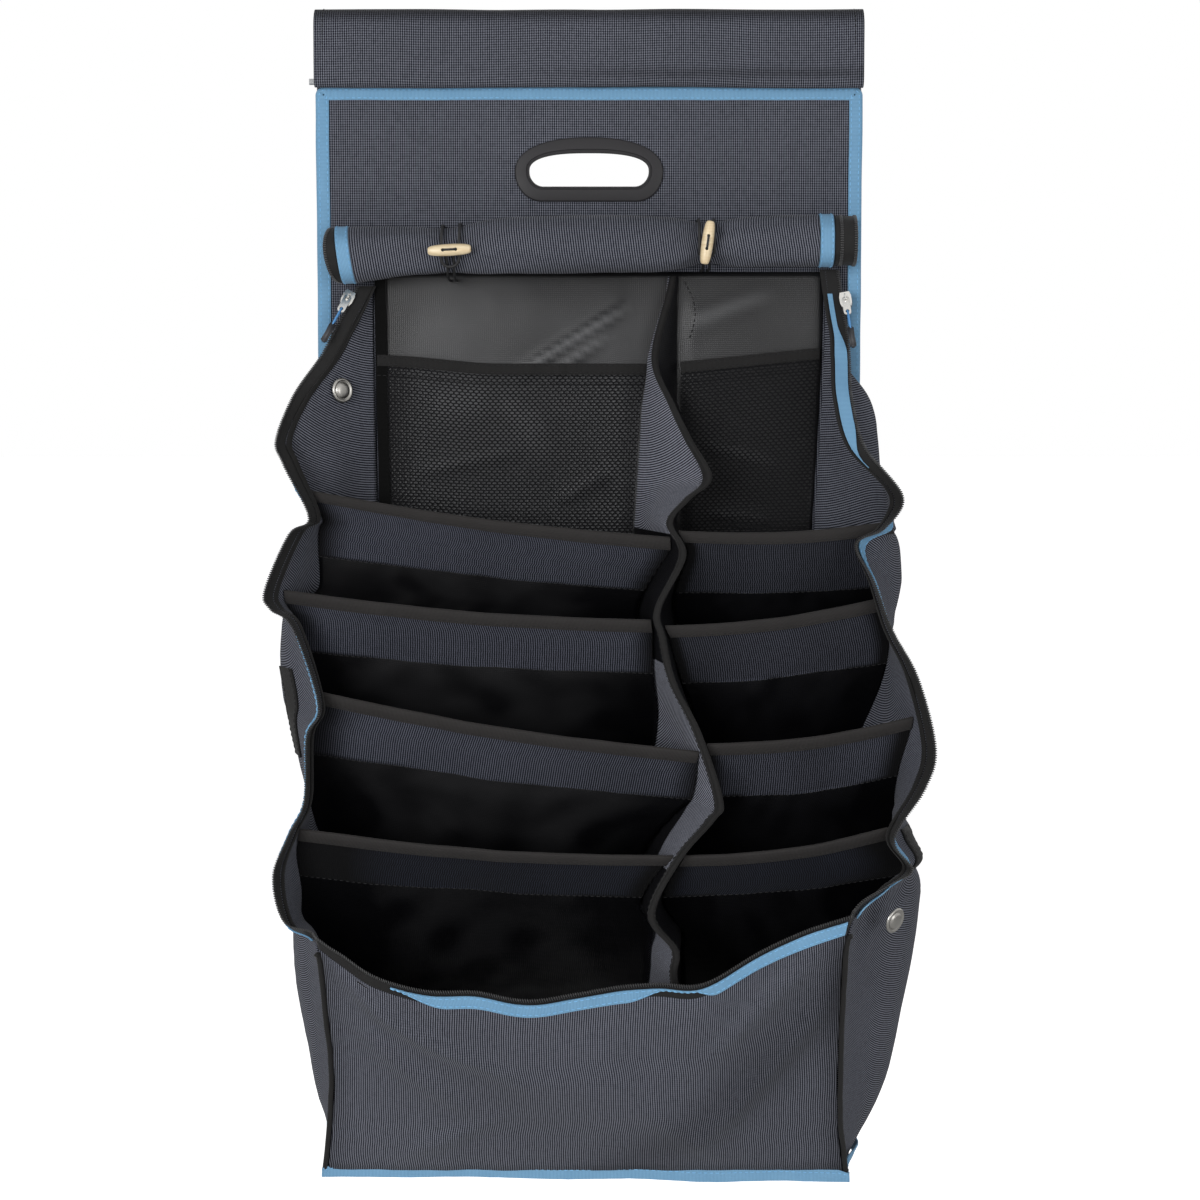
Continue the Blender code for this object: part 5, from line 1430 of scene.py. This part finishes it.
def centre_divider():
    """Both leaves with the textile's light side on the left, and the rim that joins them."""
    columns = 29

    def faced(i, j):
        """1 where the black side of the textile is turned out."""
        share, t = CENTRE_ROWS[i][0], j / columns
        if 0.27 < share < 0.405 or 0.62 < share < 0.69:
            return 1
        return 1 if 0.51 < share < 0.63 and t < 0.72 else 0

    left = {"slot": "canvas", "nodes": ["centre_divider"], "pick": faced}
    right = {"slot": "lining", "nodes": [], "pick": None}
    for side, name, materials, more in (
        (-1, "middle_left", [LIT_LEAF_CLOTH, DARK_LINING], left),
        (1, "middle_right", [DARK_LINING], right),
    ):
        rows = []
        for row in CENTRE_ROWS:
            rows.append([leaf_point(side, row, i / columns) for i in range(columns + 1)])
        held = {"held": "stretched", "rests_on": ["back_board"]}
        cloth(name, rows, 0.0010, materials, turn_uv=True, **more, **held)
    frames = []
    for row in CENTRE_ROWS:
        middle = (leaf_point(-1, row, 1.0) + leaf_point(1, row, 1.0)) / 2
        inside = (leaf_point(-1, row, 0.9) + leaf_point(1, row, 0.9)) / 2
        across = (middle - inside).normalized()
        frames.append((middle, across, across.cross(UP).normalized()))
    far = 0.0026
    outer = [(-0.0085, -far), (-0.0020, -far - 0.0001), (0.0006, -far + 0.0003)]
    outer += [(0.0015, -far + 0.0014)]
    inner = [(-0.0085, far - 0.0009), (-0.0005, far - 0.0009)]
    profile = outer + [(0.0018, 0.0)] + mirrored(outer) + inner + mirrored(inner)
    swept("middle_rim", frames, profile, [BLACK], slot="black_band")
    lines = [seam_line(frames, -0.0066, far + 0.0002, face) for face in (-1, 1)]
    stitches("middle_rim_seam", lines, THREAD_BLACK, slot="black_band")


def mirrored(profile):
    """Half a profile again on the other face, back to front."""
    return [(across, -out) for across, out in profile[::-1]]


# Pocket dividers


# Of each divider from the top: painted shade on its strip, in the left and the right column, how
# far the painted shade reaches from the strip's side-wall end, and painted shade in the pocket
# behind it
LEFT_STRIP_SHADE = (0.0, 0.0, -0.08, 0.35)
RIGHT_STRIP_SHADE = (0.48, 0.30, 0.18, 0.25)
END_REACH = (0.10, 0.10, 0.16, 0.30)
DEEP = (0.40, 0.0, 0.0, 0.30)


def divider(word, side, number, shares):
    """A pocket wall that slopes from its bound edge to the back wall: textile, then lining."""
    outer_share, inner_share, low_share, strip_width = shares
    wall = WALLS[word]
    edge_row = min(wall.rows, key=lambda row: abs(row[0] - outer_share))
    setback = 0.010 + ZIP_TAPE * math.cos(math.radians(edge_row[4]))
    outer_y = -edge_row[1] * BAG_DEPTH + setback
    _, inner_depth = centre_edge(BAG_TOP - BAG_HEIGHT * inner_share)
    inner_y = -inner_depth + 0.010
    low_z = BAG_TOP - BAG_HEIGHT * low_share
    low_y = -PANEL_FACE - 0.0032
    seed = number * 3.7 + side * 11.0

    def edge(s, t):
        """A place before folds: s runs down from the rim and t inwards from the gusset."""
        ends = []
        for y, share in ((outer_y, outer_share), (inner_y, inner_share)):
            z = BAG_TOP - BAG_HEIGHT * share
            spot = Vector((0, y + (low_y - y) * s, z + (low_z - z) * s))
            spot.y -= 0.012 * math.sin(math.pi * s)
            ends.append(spot)
        outer, inner = ends
        outer.x = wall.at(outer.y, outer.z) - side * 0.0016
        edge_x, edge_depth = centre_edge(inner.z)
        f = clamp(-inner.y / edge_depth)
        inner.x = leaf_back(side, inner.z) * (1 - f) + edge_x * f
        inner.x += side * (0.0026 + 0.0034 * math.sin(math.pi * f))
        return outer.lerp(inner, t)

    drop = (edge(0.0, 0.5) - edge(1.0, 0.5)).length
    columns = 64
    lines = 72
    strip = strip_width / drop
    down = [i / lines for i in range(lines + 1)]
    nearest = min(range(lines + 1), key=lambda i: abs(down[i] - strip))
    rows = []
    for s in down:
        row = []
        a = edge(s, 0.0)
        b = edge(s, 1.0)
        width = (b - a).length
        down_here = edge(min(s + 0.02, 1.0), 0.5) - edge(max(s - 0.02, 0.0), 0.5)
        normal = down_here.normalized().cross((b - a).normalized() * side).normalized()
        if normal.y > 0:
            normal.negate()
        for i in range(columns + 1):
            t = i / columns
            spot = a.lerp(b, t)
            inside = math.sin(math.pi * t) ** 0.7
            sag = 0.004 * math.sin(math.pi * t) * (1 - s) ** 2
            loose = inside * ramp(s, 0.02, 0.25) * (1 - ramp(s, 0.85, 1.0))
            x, z = t * width, s * drop
            depth = 0.0030 * rough(x * 13 + seed, z * 8, seed)
            depth += 0.0020 * rough(x * 26 - z * 14, z * 9 + seed, seed + 5)
            depth += 0.0007 * rough(x * 80, z * 60, seed + 9)
            rim = 0.0012 * rough(x * 30, seed, 2.0) * inside
            spot += normal * (depth * loose + rim * (1 - ramp(s, 0.0, 0.2)) + sag * 0.6)
            spot.z -= sag
            row.append(spot)
        rows.append(row)

    def pick(i, j):
        return 0 if i < nearest else 1

    wear_and_shade = (LEFT_STRIP_SHADE if side < 0 else RIGHT_STRIP_SHADE)[number - 1]

    def painted_shading(i, j):
        """Painted shade at both ends of the strip and in patches along it, and on the lining below:
        at its sides, deeper down, and in streaks of painted shade and highlight.
        """
        t = j / columns
        ends = (1 - ramp(t, 0.0, END_REACH[number - 1])) * 0.9 + ramp(t, 0.93, 1.0) * 0.8
        if i < nearest:
            return ends + wear_and_shade + 0.24 * clamp(0.5 + rough(t * 3.1, seed, 7.0))
        low = ramp(i / lines, nearest / lines, 1.0)
        side_dark = (1 - ramp(t, 0.04, 0.38)) + ramp(t, 0.72, 1.0)
        streaks = 0.75 * clamp(0.25 + 1.3 * rough(t * 9 + seed, i * 0.10, 3.0))
        return side_dark + DEEP[number - 1] + 0.4 * low + streaks

    name = f"pocket_{word}_{number}"
    held = {"held": "hung", "rests_on": [f"middle_{word}", f"side_{word}"]}
    nodes = [f"divider_{word}_{number}"]
    strip_cloth = SHADED_STRIP_CLOTH if number == 4 else STRIP_CLOTH
    fabrics = [strip_cloth, POCKET_LINING if side < 0 else DARK_LINING]
    cloth(name, rows, 0.0011, fabrics, pick=pick, dark=painted_shading, slot="lining", nodes=nodes, **held)
    frames = []
    for j in range(columns + 1):
        top = rows[0][j]
        low = rows[2][j]
        along = (rows[0][min(j + 1, columns)] - rows[0][max(j - 1, 0)]).normalized()
        across = (top - low).normalized()
        out = along.cross(across)
        if out.y > 0:
            out.negate()
        frames.append((top, across, out.normalized()))
    far = 0.0016
    profile = [(-0.0088, far), (-0.0085, far + 0.0004), (-0.0040, far + 0.0005)]
    profile += [(0.0003, far + 0.0002), (0.0016, 0.0007), (0.0016, -0.0007)]
    profile += [(0.0003, -far - 0.0002), (-0.0085, -far - 0.0002), (-0.0085, -far + 0.0008)]
    profile += [(-0.0006, -far + 0.0008), (-0.0006, far - 0.0008), (-0.0088, far - 0.0008)]
    swept(f"{name}_rim", frames, profile, [RIM], slot="black_band")
    seam = [seam_line(frames, -0.0068, far + 0.0005)]
    stitches(f"{name}_rim_seam", seam, THREAD_BLACK, slot="black_band")
    outs = [n for _, _, n in frames]
    seam = [spot + out * 0.0007 for spot, out in zip(rows[nearest], outs)]
    stitches(f"{name}_seam", [(seam, outs)], THREAD_BLACK, slot="lining")


def dividers():
    for word, side, table in (("left", -1, LEFT_DIVIDERS), ("right", 1, RIGHT_DIVIDERS)):
        for number, shares in enumerate(table, 1):
            divider(word, side, number, shares)


# Net pockets


def net_pocket(word, low_x, high_x):
    """Hexagonal mesh cloth, sewn at its sides, under a bound hem."""
    top = BAG_TOP - NET_DROP
    height = NET_HEIGHT
    width = high_x - low_x
    wide, tall = 0.0044, 0.0032
    hole_wide, hole_tall = 0.66, 0.64

    def place(x, z, proud=0.0):
        """Where a place of the flat net lies: between the seams beside it, under a sloping hem."""
        u = clamp((x - low_x) / width)
        v = (top - z) / height
        if word == "left":
            low, high = 0.0035 - LEFT.seam_at(z), leaf_back(-1, z) - 0.0015
            lift = 0.0045 - 0.0070 * ramp(u, 0.0, 0.45)
        else:
            low, high = 0.0740, RIGHT.seam_at(z) - 0.0035
            lift = -0.0010 + 0.0110 * u
        off = 0.0030 + 0.0026 * math.sin(math.pi * u) * math.cos(math.pi * clamp(v) / 2)
        off += wall_relief(x, z) + 0.0006 * rough(x * 30, v * 8, 2.0) + proud
        return Vector((low + (high - low) * u, -PANEL_FACE - off, z + lift * clamp(1 - v)))

    bm = bmesh.new()
    count_x = int(width / wide)
    step_x = width / count_x
    step_z = tall * 0.75
    count_z = int(height / step_z)
    hexagon = [(0.5, 0.25), (0.0, 0.5), (-0.5, 0.25), (-0.5, -0.25), (0.0, -0.5), (0.5, -0.25)]
    known = {}

    def vert(x, z, proud=0.0):
        return bm.verts.new(place(clamp(x, low_x, high_x), clamp(z, top - height, top), proud))

    def shared(x, z):
        """The vertex that neighbouring holes share."""
        key = (round(x * 1e6), round(z * 1e6))
        if key not in known:
            known[key] = vert(x, z)
        return known[key]

    for j in range(count_z + 1):
        for i in range(count_x + (j % 2)):
            x = low_x + step_x * (i + (0.0 if j % 2 else 0.5))
            z = top - step_z * j
            ring = [shared(x + a * step_x, z + b * tall) for a, b in hexagon]
            inner = []
            for a, b in hexagon:
                inner.append(vert(x + a * step_x * hole_wide, z + b * tall * hole_tall, 0.00025))
            skin(bm, [ring, inner])
    bmesh.ops.dissolve_degenerate(bm, dist=1e-6, edges=bm.edges)
    name = f"net_{word}_mesh"
    data = mesh_of(bm, name)
    data.shade_flat()
    made = new_piece(name, data, [NET], slot="net", nodes=[f"net_{word}"])

    frames = []
    for i in range(61):
        x = low_x + width * i / 60
        wave = UP * (0.0006 * rough(x * 14, 2.0, 9.0))
        frames.append((place(x, top, HALF_CLOTH) + wave, UP, FORWARD))
    nodes = [f"net_hem_{word}"]
    band(f"net_{word}_hem", frames, 0.0, 0.0090, BLACK, "black_band", nodes, 0.0014, 0.0008)
    lines = [seam_line(frames, across_at, 0.0011) for across_at in (0.0016, 0.0074)]
    lines.append(seam_line(frames, -0.0075, 0.0002))
    stitches(f"net_{word}_seam", lines, THREAD_BLACK, slot="black_band")


# Rolled cover


ROLL_FINE = smooth(ROLL, 6)
# Place across, lean of the toggle in degrees and spread of the elastic's two strands
TOGGLE_PLACES = {"left": (-0.109, 3, 0.014), "right": (0.093, 82, 0.012)}


def roll_at(x):
    """Y and Z of the roll's axis and its radius."""
    drop, radius = lookup(ROLL_FINE, clamp(x, ROLL[0][0], ROLL[-1][0]))
    return -(PANEL_FACE + 0.004 + radius), -drop, radius


def round_roll(x, angle, off):
    """A place off the plain roll at an angle in degrees, from its top over its front."""
    cy, cz, radius = roll_at(x)
    a = math.radians(angle)
    r = radius + off
    return Vector((x, cy - r * math.sin(a), cz + r * math.cos(a)))


def roll_fold(x, angle):
    """How far the roll's surface stands off its plain radius."""
    off = 0.0
    for at, _, _ in TOGGLE_PLACES.values():
        near = hump(x, at, 0.012)
        beside = hump(x, at, 0.045)
        fan = math.sin(4 * angle + (x - at) * 60)
        off += -0.0012 * near + 0.0012 * beside * fan * (1 - near)
    off += 0.0015 * rough(x * 14, math.cos(angle) * 1.6, math.sin(angle) * 1.6)
    off += 0.0006 * rough(x * 45, math.cos(angle) * 4.0, math.sin(angle) * 4.0)
    off += 0.0009 * math.sin(3 * angle + x * 26) * rough(x * 6, 1.0, 4.0)
    return off


def roll_shift(x, angle):
    """How far the roll's left end leans inwards, more at its underside."""
    lean = 0.0027 + 0.0029 * (1 - math.cos(angle))
    return lean * ramp(-x, 0.150, 0.190)


def roll_rows(places, shrink, layer=0.0026, cut=None):
    """Rows of a cloth that lies flat behind the roll's top, then winds inwards."""
    turns, sides, pitch = 2.5, 56, 0.0047
    rows = []
    for x in places:
        cy, cz, radius = roll_at(x)
        middle = radius - shrink - layer / 2
        back = -(PANEL_FACE + GAP + shrink + layer / 2)
        row = [Vector((x + roll_shift(x, 0.0), back, cz + middle + 0.0004))]
        for i in range(int(turns * sides) + 1):
            angle = 2 * math.pi * i / sides
            turned = i / sides
            loose = ramp(angle, 0.0, 0.9) * (1 - 0.35 * clamp(turned))
            r = middle - pitch * turned + roll_fold(x, angle) * loose
            at = (cut(x, angle) if cut else x) + roll_shift(x, angle)
            row.append(Vector((at, cy - r * math.sin(angle), cz + r * math.cos(angle))))
        rows.append(row)
    return rows


def cover():
    """The rolled cover, its blue end strips and the zip tape beyond each of them."""
    first, last = ROLL[0][0], ROLL[-1][0]
    places = [first + (last - first) * i / 150 for i in range(151)]
    rows = roll_rows(places, 0.0)
    held = {"held": "folded", "rests_on": ["elastic_left_loop", "elastic_right_loop"]}
    more = {"slot": "canvas", "nodes": ["cover_roll"]}
    cloth("rolled_cloth", rows, 0.0024, [SIDE_CLOTH], turn_uv=True, **more, **held)
    strips = (("left", first - 0.0106, first - GAP), ("right", last + GAP, last + 0.0113))
    for word, a, b in strips:
        places = [a + (b - a) * i / 8 for i in range(9)]
        rows = roll_rows(places, -GAP, 0.0020)
        more = {"slot": "blue_band", "nodes": [f"roll_trim_{word}"]}
        cloth(f"rolled_trim_{word}", rows, 0.0018, [BLUE], "folded", ["rolled_cloth"], True, **more)
        lines = []
        for row in (rows[1], rows[-2]):
            shown = [(p, off_axis(p)) for p in row[1:57]]
            lines.append(([p + n * 0.0010 for p, n in shown], [n for _, n in shown]))
        stitches(f"rolled_trim_{word}_seam", lines, THREAD_BLUE, slot="blue_band")
    tapes = (("left", first - 0.0109, 0.0100, -1), ("right", last + 0.0116, 0.018, 1))
    for word, edge, width, side in tapes:

        def crescent(x, angle, edge=edge, left=side < 0):
            """The left tape is drawn in at the roll's top and foot."""
            return edge + (x - edge) * (0.35 + 0.65 * abs(math.sin(angle))) if left else x

        places = [edge + side * width * i / 8 for i in range(9)]
        rows = roll_rows(places, 0.0013, 0.0010, crescent)
        more = {"slot": "black_band", "nodes": [f"roll_zip_{word}"]}
        cloth(f"rolled_zip_{word}", rows, 0.0009, [TAPE], turn_uv=True, **more)
        bm = bmesh.new()
        for row in [rows[-1]] if side < 0 else [rows[3], rows[-1]]:
            for p in spaced(row[1:], 0.0018):
                add_teeth(bm, p, off_axis(p), side)
        bmesh.ops.bevel(bm, geom=bm.edges, offset=0.0002, segments=1, affect="EDGES")
        name = f"rolled_zip_{word}_teeth"
        new_piece(name, mesh_of(bm, name), [TEETH], slot="black_band")


def off_axis(place):
    """The direction from the roll's axis to a place."""
    cy, cz, _ = roll_at(place.x)
    return (place - Vector((place.x, cy, cz))).normalized()


def add_teeth(bm, place, out, side):
    """One tooth on each face of a rolled tape."""
    along = Vector((1, 0, 0))
    turn = Matrix((along, along.cross(out), out)).transposed().to_4x4()
    size = Matrix.Diagonal((0.0026, 0.0009, 0.0008, 1))
    for face in (-1, 1):
        made = bmesh.ops.create_cube(bm, size=1.0)["verts"]
        spot = place + out * face * 0.0008 - along * side * 0.0011
        bmesh.ops.transform(bm, matrix=Matrix.Translation(spot) @ turn @ size, verts=made)


# Toggles with their cords


def elastic(word):
    """A loop of elastic over the roll, its two strands spread behind the toggle."""
    x, _, spread = TOGGLE_PLACES[word]
    half = spread / 2
    strand = []
    for angle in range(0, 106, 15):
        rise = clamp((angle - 30) / 45)
        strand.append((angle, FLAT_OFF + (PROUD - FLAT_OFF) * rise))
    left = [round_roll(x - half, a, off) for a, off in strand]
    right = [round_roll(x + half, a, off) for a, off in strand]
    bight = []
    for step in range(1, 6):
        phi = math.pi * step / 6
        more = math.degrees(half * math.sin(phi) / (roll_at(x)[2] + PROUD))
        bight.append(round_roll(x - half * math.cos(phi), strand[-1][0] + more, PROUD))
    path = [Vector((left[0].x, CORD_TAIL, left[0].z)), *left, *bight]
    path += [*right[::-1], Vector((right[0].x, CORD_TAIL, right[0].z))]
    more = {"slot": "elastic", "nodes": [f"elastic_{word}"], "cord": TAUT, "twist": 0.004}
    rope(f"elastic_{word}_loop", curved(path), ELASTIC_RADIUS, ROPE, sides=12, **more)


def toggle_cord(word, centre):
    """The cord from the panel, under the roll and through the toggle's two holes."""
    x = TOGGLE_PLACES[word][0]
    cross = centre.y + TOGGLE_RADIUS + GAP + CORD_RADIUS
    strands = []
    for at in (x - 0.0026, x + 0.0026):
        rise = [round_roll(at, angle, CORD_OFF) for angle in range(180, 106, -15)]
        tail = Vector((at, CORD_TAIL, rise[0].z))
        strands.append([tail, *rise, Vector((at, cross, centre.z))])
    path = curved(strands[0] + strands[1][::-1])
    more = {"slot": "elastic", "nodes": [f"toggle_cord_{word}"], "cord": TAUT, "twist": 0.003}
    rope(f"toggle_{word}_loop", path, CORD_RADIUS, ROPE, sides=12, **more)


def toggle_set(word):
    """Elastic, cord and turned wooden toggle with its holes and the cord through them."""
    elastic(word)
    low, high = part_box(f"toggle_{word}")
    centre = (Vector(low) + Vector(high)) / 2
    toggle_cord(word, centre)

    h, r = TOGGLE_LENGTH / 2, TOGGLE_RADIUS
    profile = [(0.0, h)]
    for across, up in ((0.30, 1.0), (0.48, 0.99), (0.60, 0.965), (0.70, 0.92), (0.80, 0.82)):
        profile.append((r * across, h * up))
    profile += [(r * 0.89, h * 0.66), (r * 0.95, h * 0.45), (r * 0.99, h * 0.22), (r, 0.0)]
    profile += [(a, -b) for a, b in profile[-2::-1]]
    turn = Matrix.Rotation(math.radians(90 - TOGGLE_PLACES[word][1]), 4, "Y")
    place = Matrix.Translation(centre) @ turn
    more = {"body": f"toggle_{word}_body", "slot": "wood", "nodes": [f"toggle_{word}"]}
    toggle = lathe(f"toggle_{word}_bar", profile, 40, [WOOD], Matrix.Identity(4), **more)
    bm = bmesh.new()
    hole = {"radius1": 0.0013, "radius2": 0.0013, "depth": 0.02}
    for z in (-0.005, 0.005):
        made = bmesh.ops.create_cone(bm, cap_ends=True, segments=24, **hole)["verts"]
        bmesh.ops.rotate(bm, verts=made, matrix=Matrix.Rotation(math.pi / 2, 3, "X"))
        bmesh.ops.translate(bm, verts=made, vec=(0, 0, z))
    drill = bpy.data.meshes.new("drill")
    bm.to_mesh(drill)
    bm.free()
    cutter = bpy.data.objects.new("drill", drill)
    bpy.context.scene.collection.objects.link(cutter)
    cut = toggle.modifiers.new("holes", "BOOLEAN")
    cut.object = cutter
    cut.solver = "EXACT"
    graph = bpy.context.evaluated_depsgraph_get()
    data = bpy.data.meshes.new_from_object(toggle.evaluated_get(graph))
    toggle.modifiers.clear()
    data.transform(place)
    data.shade_smooth()
    data.set_sharp_from_angle(angle=math.radians(45))
    toggle.data = data
    bpy.data.objects.remove(cutter)

    stitch = [(-0.0062, 0.004), (-0.0050, -0.0035), (-0.0036, -0.0054), (0.0, -0.0059)]
    stitch += [(0.0036, -0.0054), (0.0050, -0.0035), (0.0062, 0.004)]
    path = curved([place @ Vector((0, y, z)) for z, y in stitch], 6)
    rope(f"toggle_{word}_stitch", path, 0.0009, ROPE, f"toggle_{word}_body", "elastic")


# Sliders' pulls, press studs and webbing


def pulls(word):
    """The doubled cord and its grip, in the place of their node."""
    corners = [Vector(v.co) for v in CAD[f"pull_cord_{word}"].data.vertices]
    tab = [Vector(v.co) for v in CAD[f"pull_tab_{word}"].data.vertices]
    top = sum(tab, Vector()) / len(tab)
    down = (sum(corners, Vector()) / len(corners) - top).normalized()
    reach = [(p - top).dot(down) for p in corners]
    length = 0.018
    eye = top + down * min(reach)
    grip_foot = top + down * max(reach)
    grip_top = grip_foot - down * length
    front = (FORWARD - down * FORWARD.dot(down)).normalized()
    out = 0.0016
    path = [grip_top + down * 0.002 + front * out, grip_top - down * 0.005 + front * (out + 0.0006)]
    path += [eye + down * 0.003 + front * out, eye + down * 0.0006 + front * 0.0007]
    path += [eye - front * 0.0004 + down * 0.0003, eye + down * 0.0030 - front * out]
    path += [grip_top - down * 0.005 - front * out, grip_top + down * 0.002 - front * out]
    body = f"pull_{word}_body"
    cord = {"far_end": "object", "lay": "hanging"}
    more = {"body": body, "slot": "blue_cord", "cord": cord, "twist": 0.0025}
    rope(f"pull_{word}_cord", curved(path), 0.0008, BLUE_ROPE, **more)

    wide, thick, waist = 0.0052, 0.0046, 0.88
    bm = bmesh.new()
    bmesh.ops.create_cube(bm, size=1.0)
    bmesh.ops.subdivide_edges(bm, edges=bm.edges, cuts=1, use_grid_fill=True)
    for v in bm.verts:
        narrow = waist if abs(v.co.z) < 0.1 else 1
        v.co = Vector((v.co.x * wide * narrow, v.co.y * thick * narrow, v.co.z * length))
    sharp = [e for e in bm.edges if e.calc_face_angle(0) > 0.8]
    bmesh.ops.bevel(bm, geom=sharp, offset=0.0011, segments=4, affect="EDGES")
    data = mesh_of(bm, f"pull_{word}_grip")
    turn = Matrix((down.cross(front), front, -down)).transposed().to_4x4()
    data.transform(Matrix.Translation(grip_top.lerp(grip_foot, 0.5)) @ turn)
    new_piece(f"pull_{word}_grip", data, [GRIP], body, "blue_cord", [f"pull_cord_{word}"])


def press_stud(node):
    """A domed cap in the place of its node, along the node's thinnest direction."""
    corners = [Vector(v.co) for v in CAD[node].data.vertices]
    centre = sum(corners, Vector()) / len(corners)
    spread = Matrix(((0, 0, 0), (0, 0, 0), (0, 0, 0)))
    for p in corners:
        d = p - centre
        for a in range(3):
            for b in range(3):
                spread[a][b] += d[a] * d[b]
    outward = Vector((1, -0.3, 0))
    axis = outward.normalized()
    inverse = spread.inverted()
    for _ in range(40):
        axis = (inverse @ axis).normalized()
    if axis.dot(outward) < 0:
        axis.negate()
    base = min((p - centre).dot(axis) for p in corners)
    turn = axis.to_track_quat("Z", "Y").to_matrix().to_4x4()
    r = 0.010
    profile = [(0.0, 0.0), (r * 0.97, 0.0), (r, 0.0004), (r * 0.99, 0.0010), (r * 0.94, 0.0016)]
    profile += [(r * 0.86, 0.0019), (r * 0.78, 0.0017), (r * 0.72, 0.0012), (r * 0.68, 0.0012)]
    profile += [(r * 0.64, 0.0017), (r * 0.56, 0.0024), (r * 0.42, 0.0029), (r * 0.22, 0.0031)]
    profile.append((0.0, 0.0031))
    place = Matrix.Translation(centre + axis * base) @ turn
    lathe(f"{node}_cap", profile, 56, [STUD], place, slot="metal", nodes=[node])


def webbing(word, first_share, last_share, behind):
    """A strap sewn flat on the outside of the wall."""
    wall = WALLS[word]
    width, columns = 0.025, 8
    rows = []
    outs = []
    for index, row in enumerate(wall.rows):
        if not first_share <= row[0] <= last_share:
            continue
        near = wall.inset(index) + behind
        line = []
        for k in range(columns + 1):
            line.append(wall.crumpled(row, wall.share_at(row, near + width * k / columns)))
        out = wall.outward((line[0] - line[-1]).normalized())
        rows.append([spot + out * 0.0016 for spot in line])
        outs.append(out)
    more = {"slot": "black_band", "nodes": [f"webbing_{word}"]}
    cloth(f"side_strap_{word}", rows, 0.0014, [BLACK], **more)
    sew_rows(f"side_strap_{word}_seam", rows, outs, 0.0009, THREAD_BLACK, "black_band")


gussets()
back_board()
board_binding()
lining()
handle()
sleeve()
front_panel()
bottom()
centre_divider()
dividers()
net_pocket("left", -0.1685, 0.0400)
net_pocket("right", 0.0740, 0.1830)
cover()
for word in WALLS:
    toggle_set(word)
    pulls(word)
for node in ("stud_left_upper", "stud_left_lower", "stud_right"):
    press_stud(node)
webbing("left", 0.415, 0.525, 0.050)
webbing("right", 0.590, 0.650, 0.030)

for names, material in (
    (("slider_left", "slider_right", "pull_tab_left", "pull_tab_right"), METAL),
    (("sleeve_rod",), STEEL),
):
    for name in names:
        node = CAD[name]
        node.data.materials.clear()
        node.data.materials.append(material)
        for slot_at in range(len(node.material_slots)):
            node.material_slots[slot_at].material = material


# Stage, light and camera


def area_light(name, place, target, size, power):
    """A white disk of light that looks at its target."""
    data = bpy.data.lights.new(name, "AREA")
    data.shape = "DISK"
    data.size = size
    data.energy = power
    made = bpy.data.objects.new(name, data)
    made.location = place
    made.rotation_euler = (Vector(target) - Vector(place)).to_track_quat("-Z", "Y").to_euler()
    bpy.context.scene.collection.objects.link(made)


area_light("key", (-1.2, -2.5, -0.05), (0, 0, -0.45), 1.3, 42)
area_light("fill", (1.5, -2.3, -0.2), (0, 0, -0.45), 1.6, 19)
area_light("rim", (0.4, 1.6, 0.9), (0, 0, -0.4), 1.4, 14)

floor_shade = Shade("floor_look", (0.80, 0.80, 0.80), 0.9)
floor_shade.put("Emission Color", (1.0, 1.0, 1.0, 1.0))
glow = floor_shade.math("MULTIPLY", floor_shade.node("LightPath"), 0.80)
floor_shade.put("Emission Strength", glow)
ground = bpy.data.meshes.new("floor")
floor_corners = [(-20, -8, -1.3), (20, -8, -1.3), (20, 40, -1.3), (-20, 40, -1.3)]
ground.from_pydata(floor_corners, [], [(0, 1, 2, 3)])
floor = bpy.data.objects.new("floor", ground)
bpy.context.scene.collection.objects.link(floor)
ground.materials.append(floor_shade.material)

world = bpy.data.worlds.new("studio")
world.use_nodes = True
bpy.context.scene.world = world
tree = world.node_tree
rays = tree.nodes.new("ShaderNodeLightPath").outputs


def world_math(operation, *values):
    made = tree.nodes.new("ShaderNodeMath")
    made.operation = operation
    for socket, value in zip(made.inputs, values):
        wire(tree, socket, value)
    return made.outputs[0]


through = world_math("MAXIMUM", rays["Is Glossy Ray"], rays["Is Transmission Ray"])
seen = world_math("MAXIMUM", rays["Is Camera Ray"], through)
background = tree.nodes["Background"].inputs
wire(tree, background["Color"], (1, 1, 1, 1))
wire(tree, background["Strength"], world_math("MULTIPLY_ADD", seen, 0.75, 0.25))

lens = bpy.data.cameras.new("camera")
lens.lens = 67.5
lens.sensor_width = 36
lens.sensor_fit = "HORIZONTAL"
camera = bpy.data.objects.new("camera", lens)
camera.location = (0.0088, -1.8329, -0.2974)
camera.rotation_euler = (math.radians(85), 0, 0)
bpy.context.scene.collection.objects.link(camera)
bpy.context.scene.camera = camera
bpy.context.scene.view_settings.view_transform = "Standard"
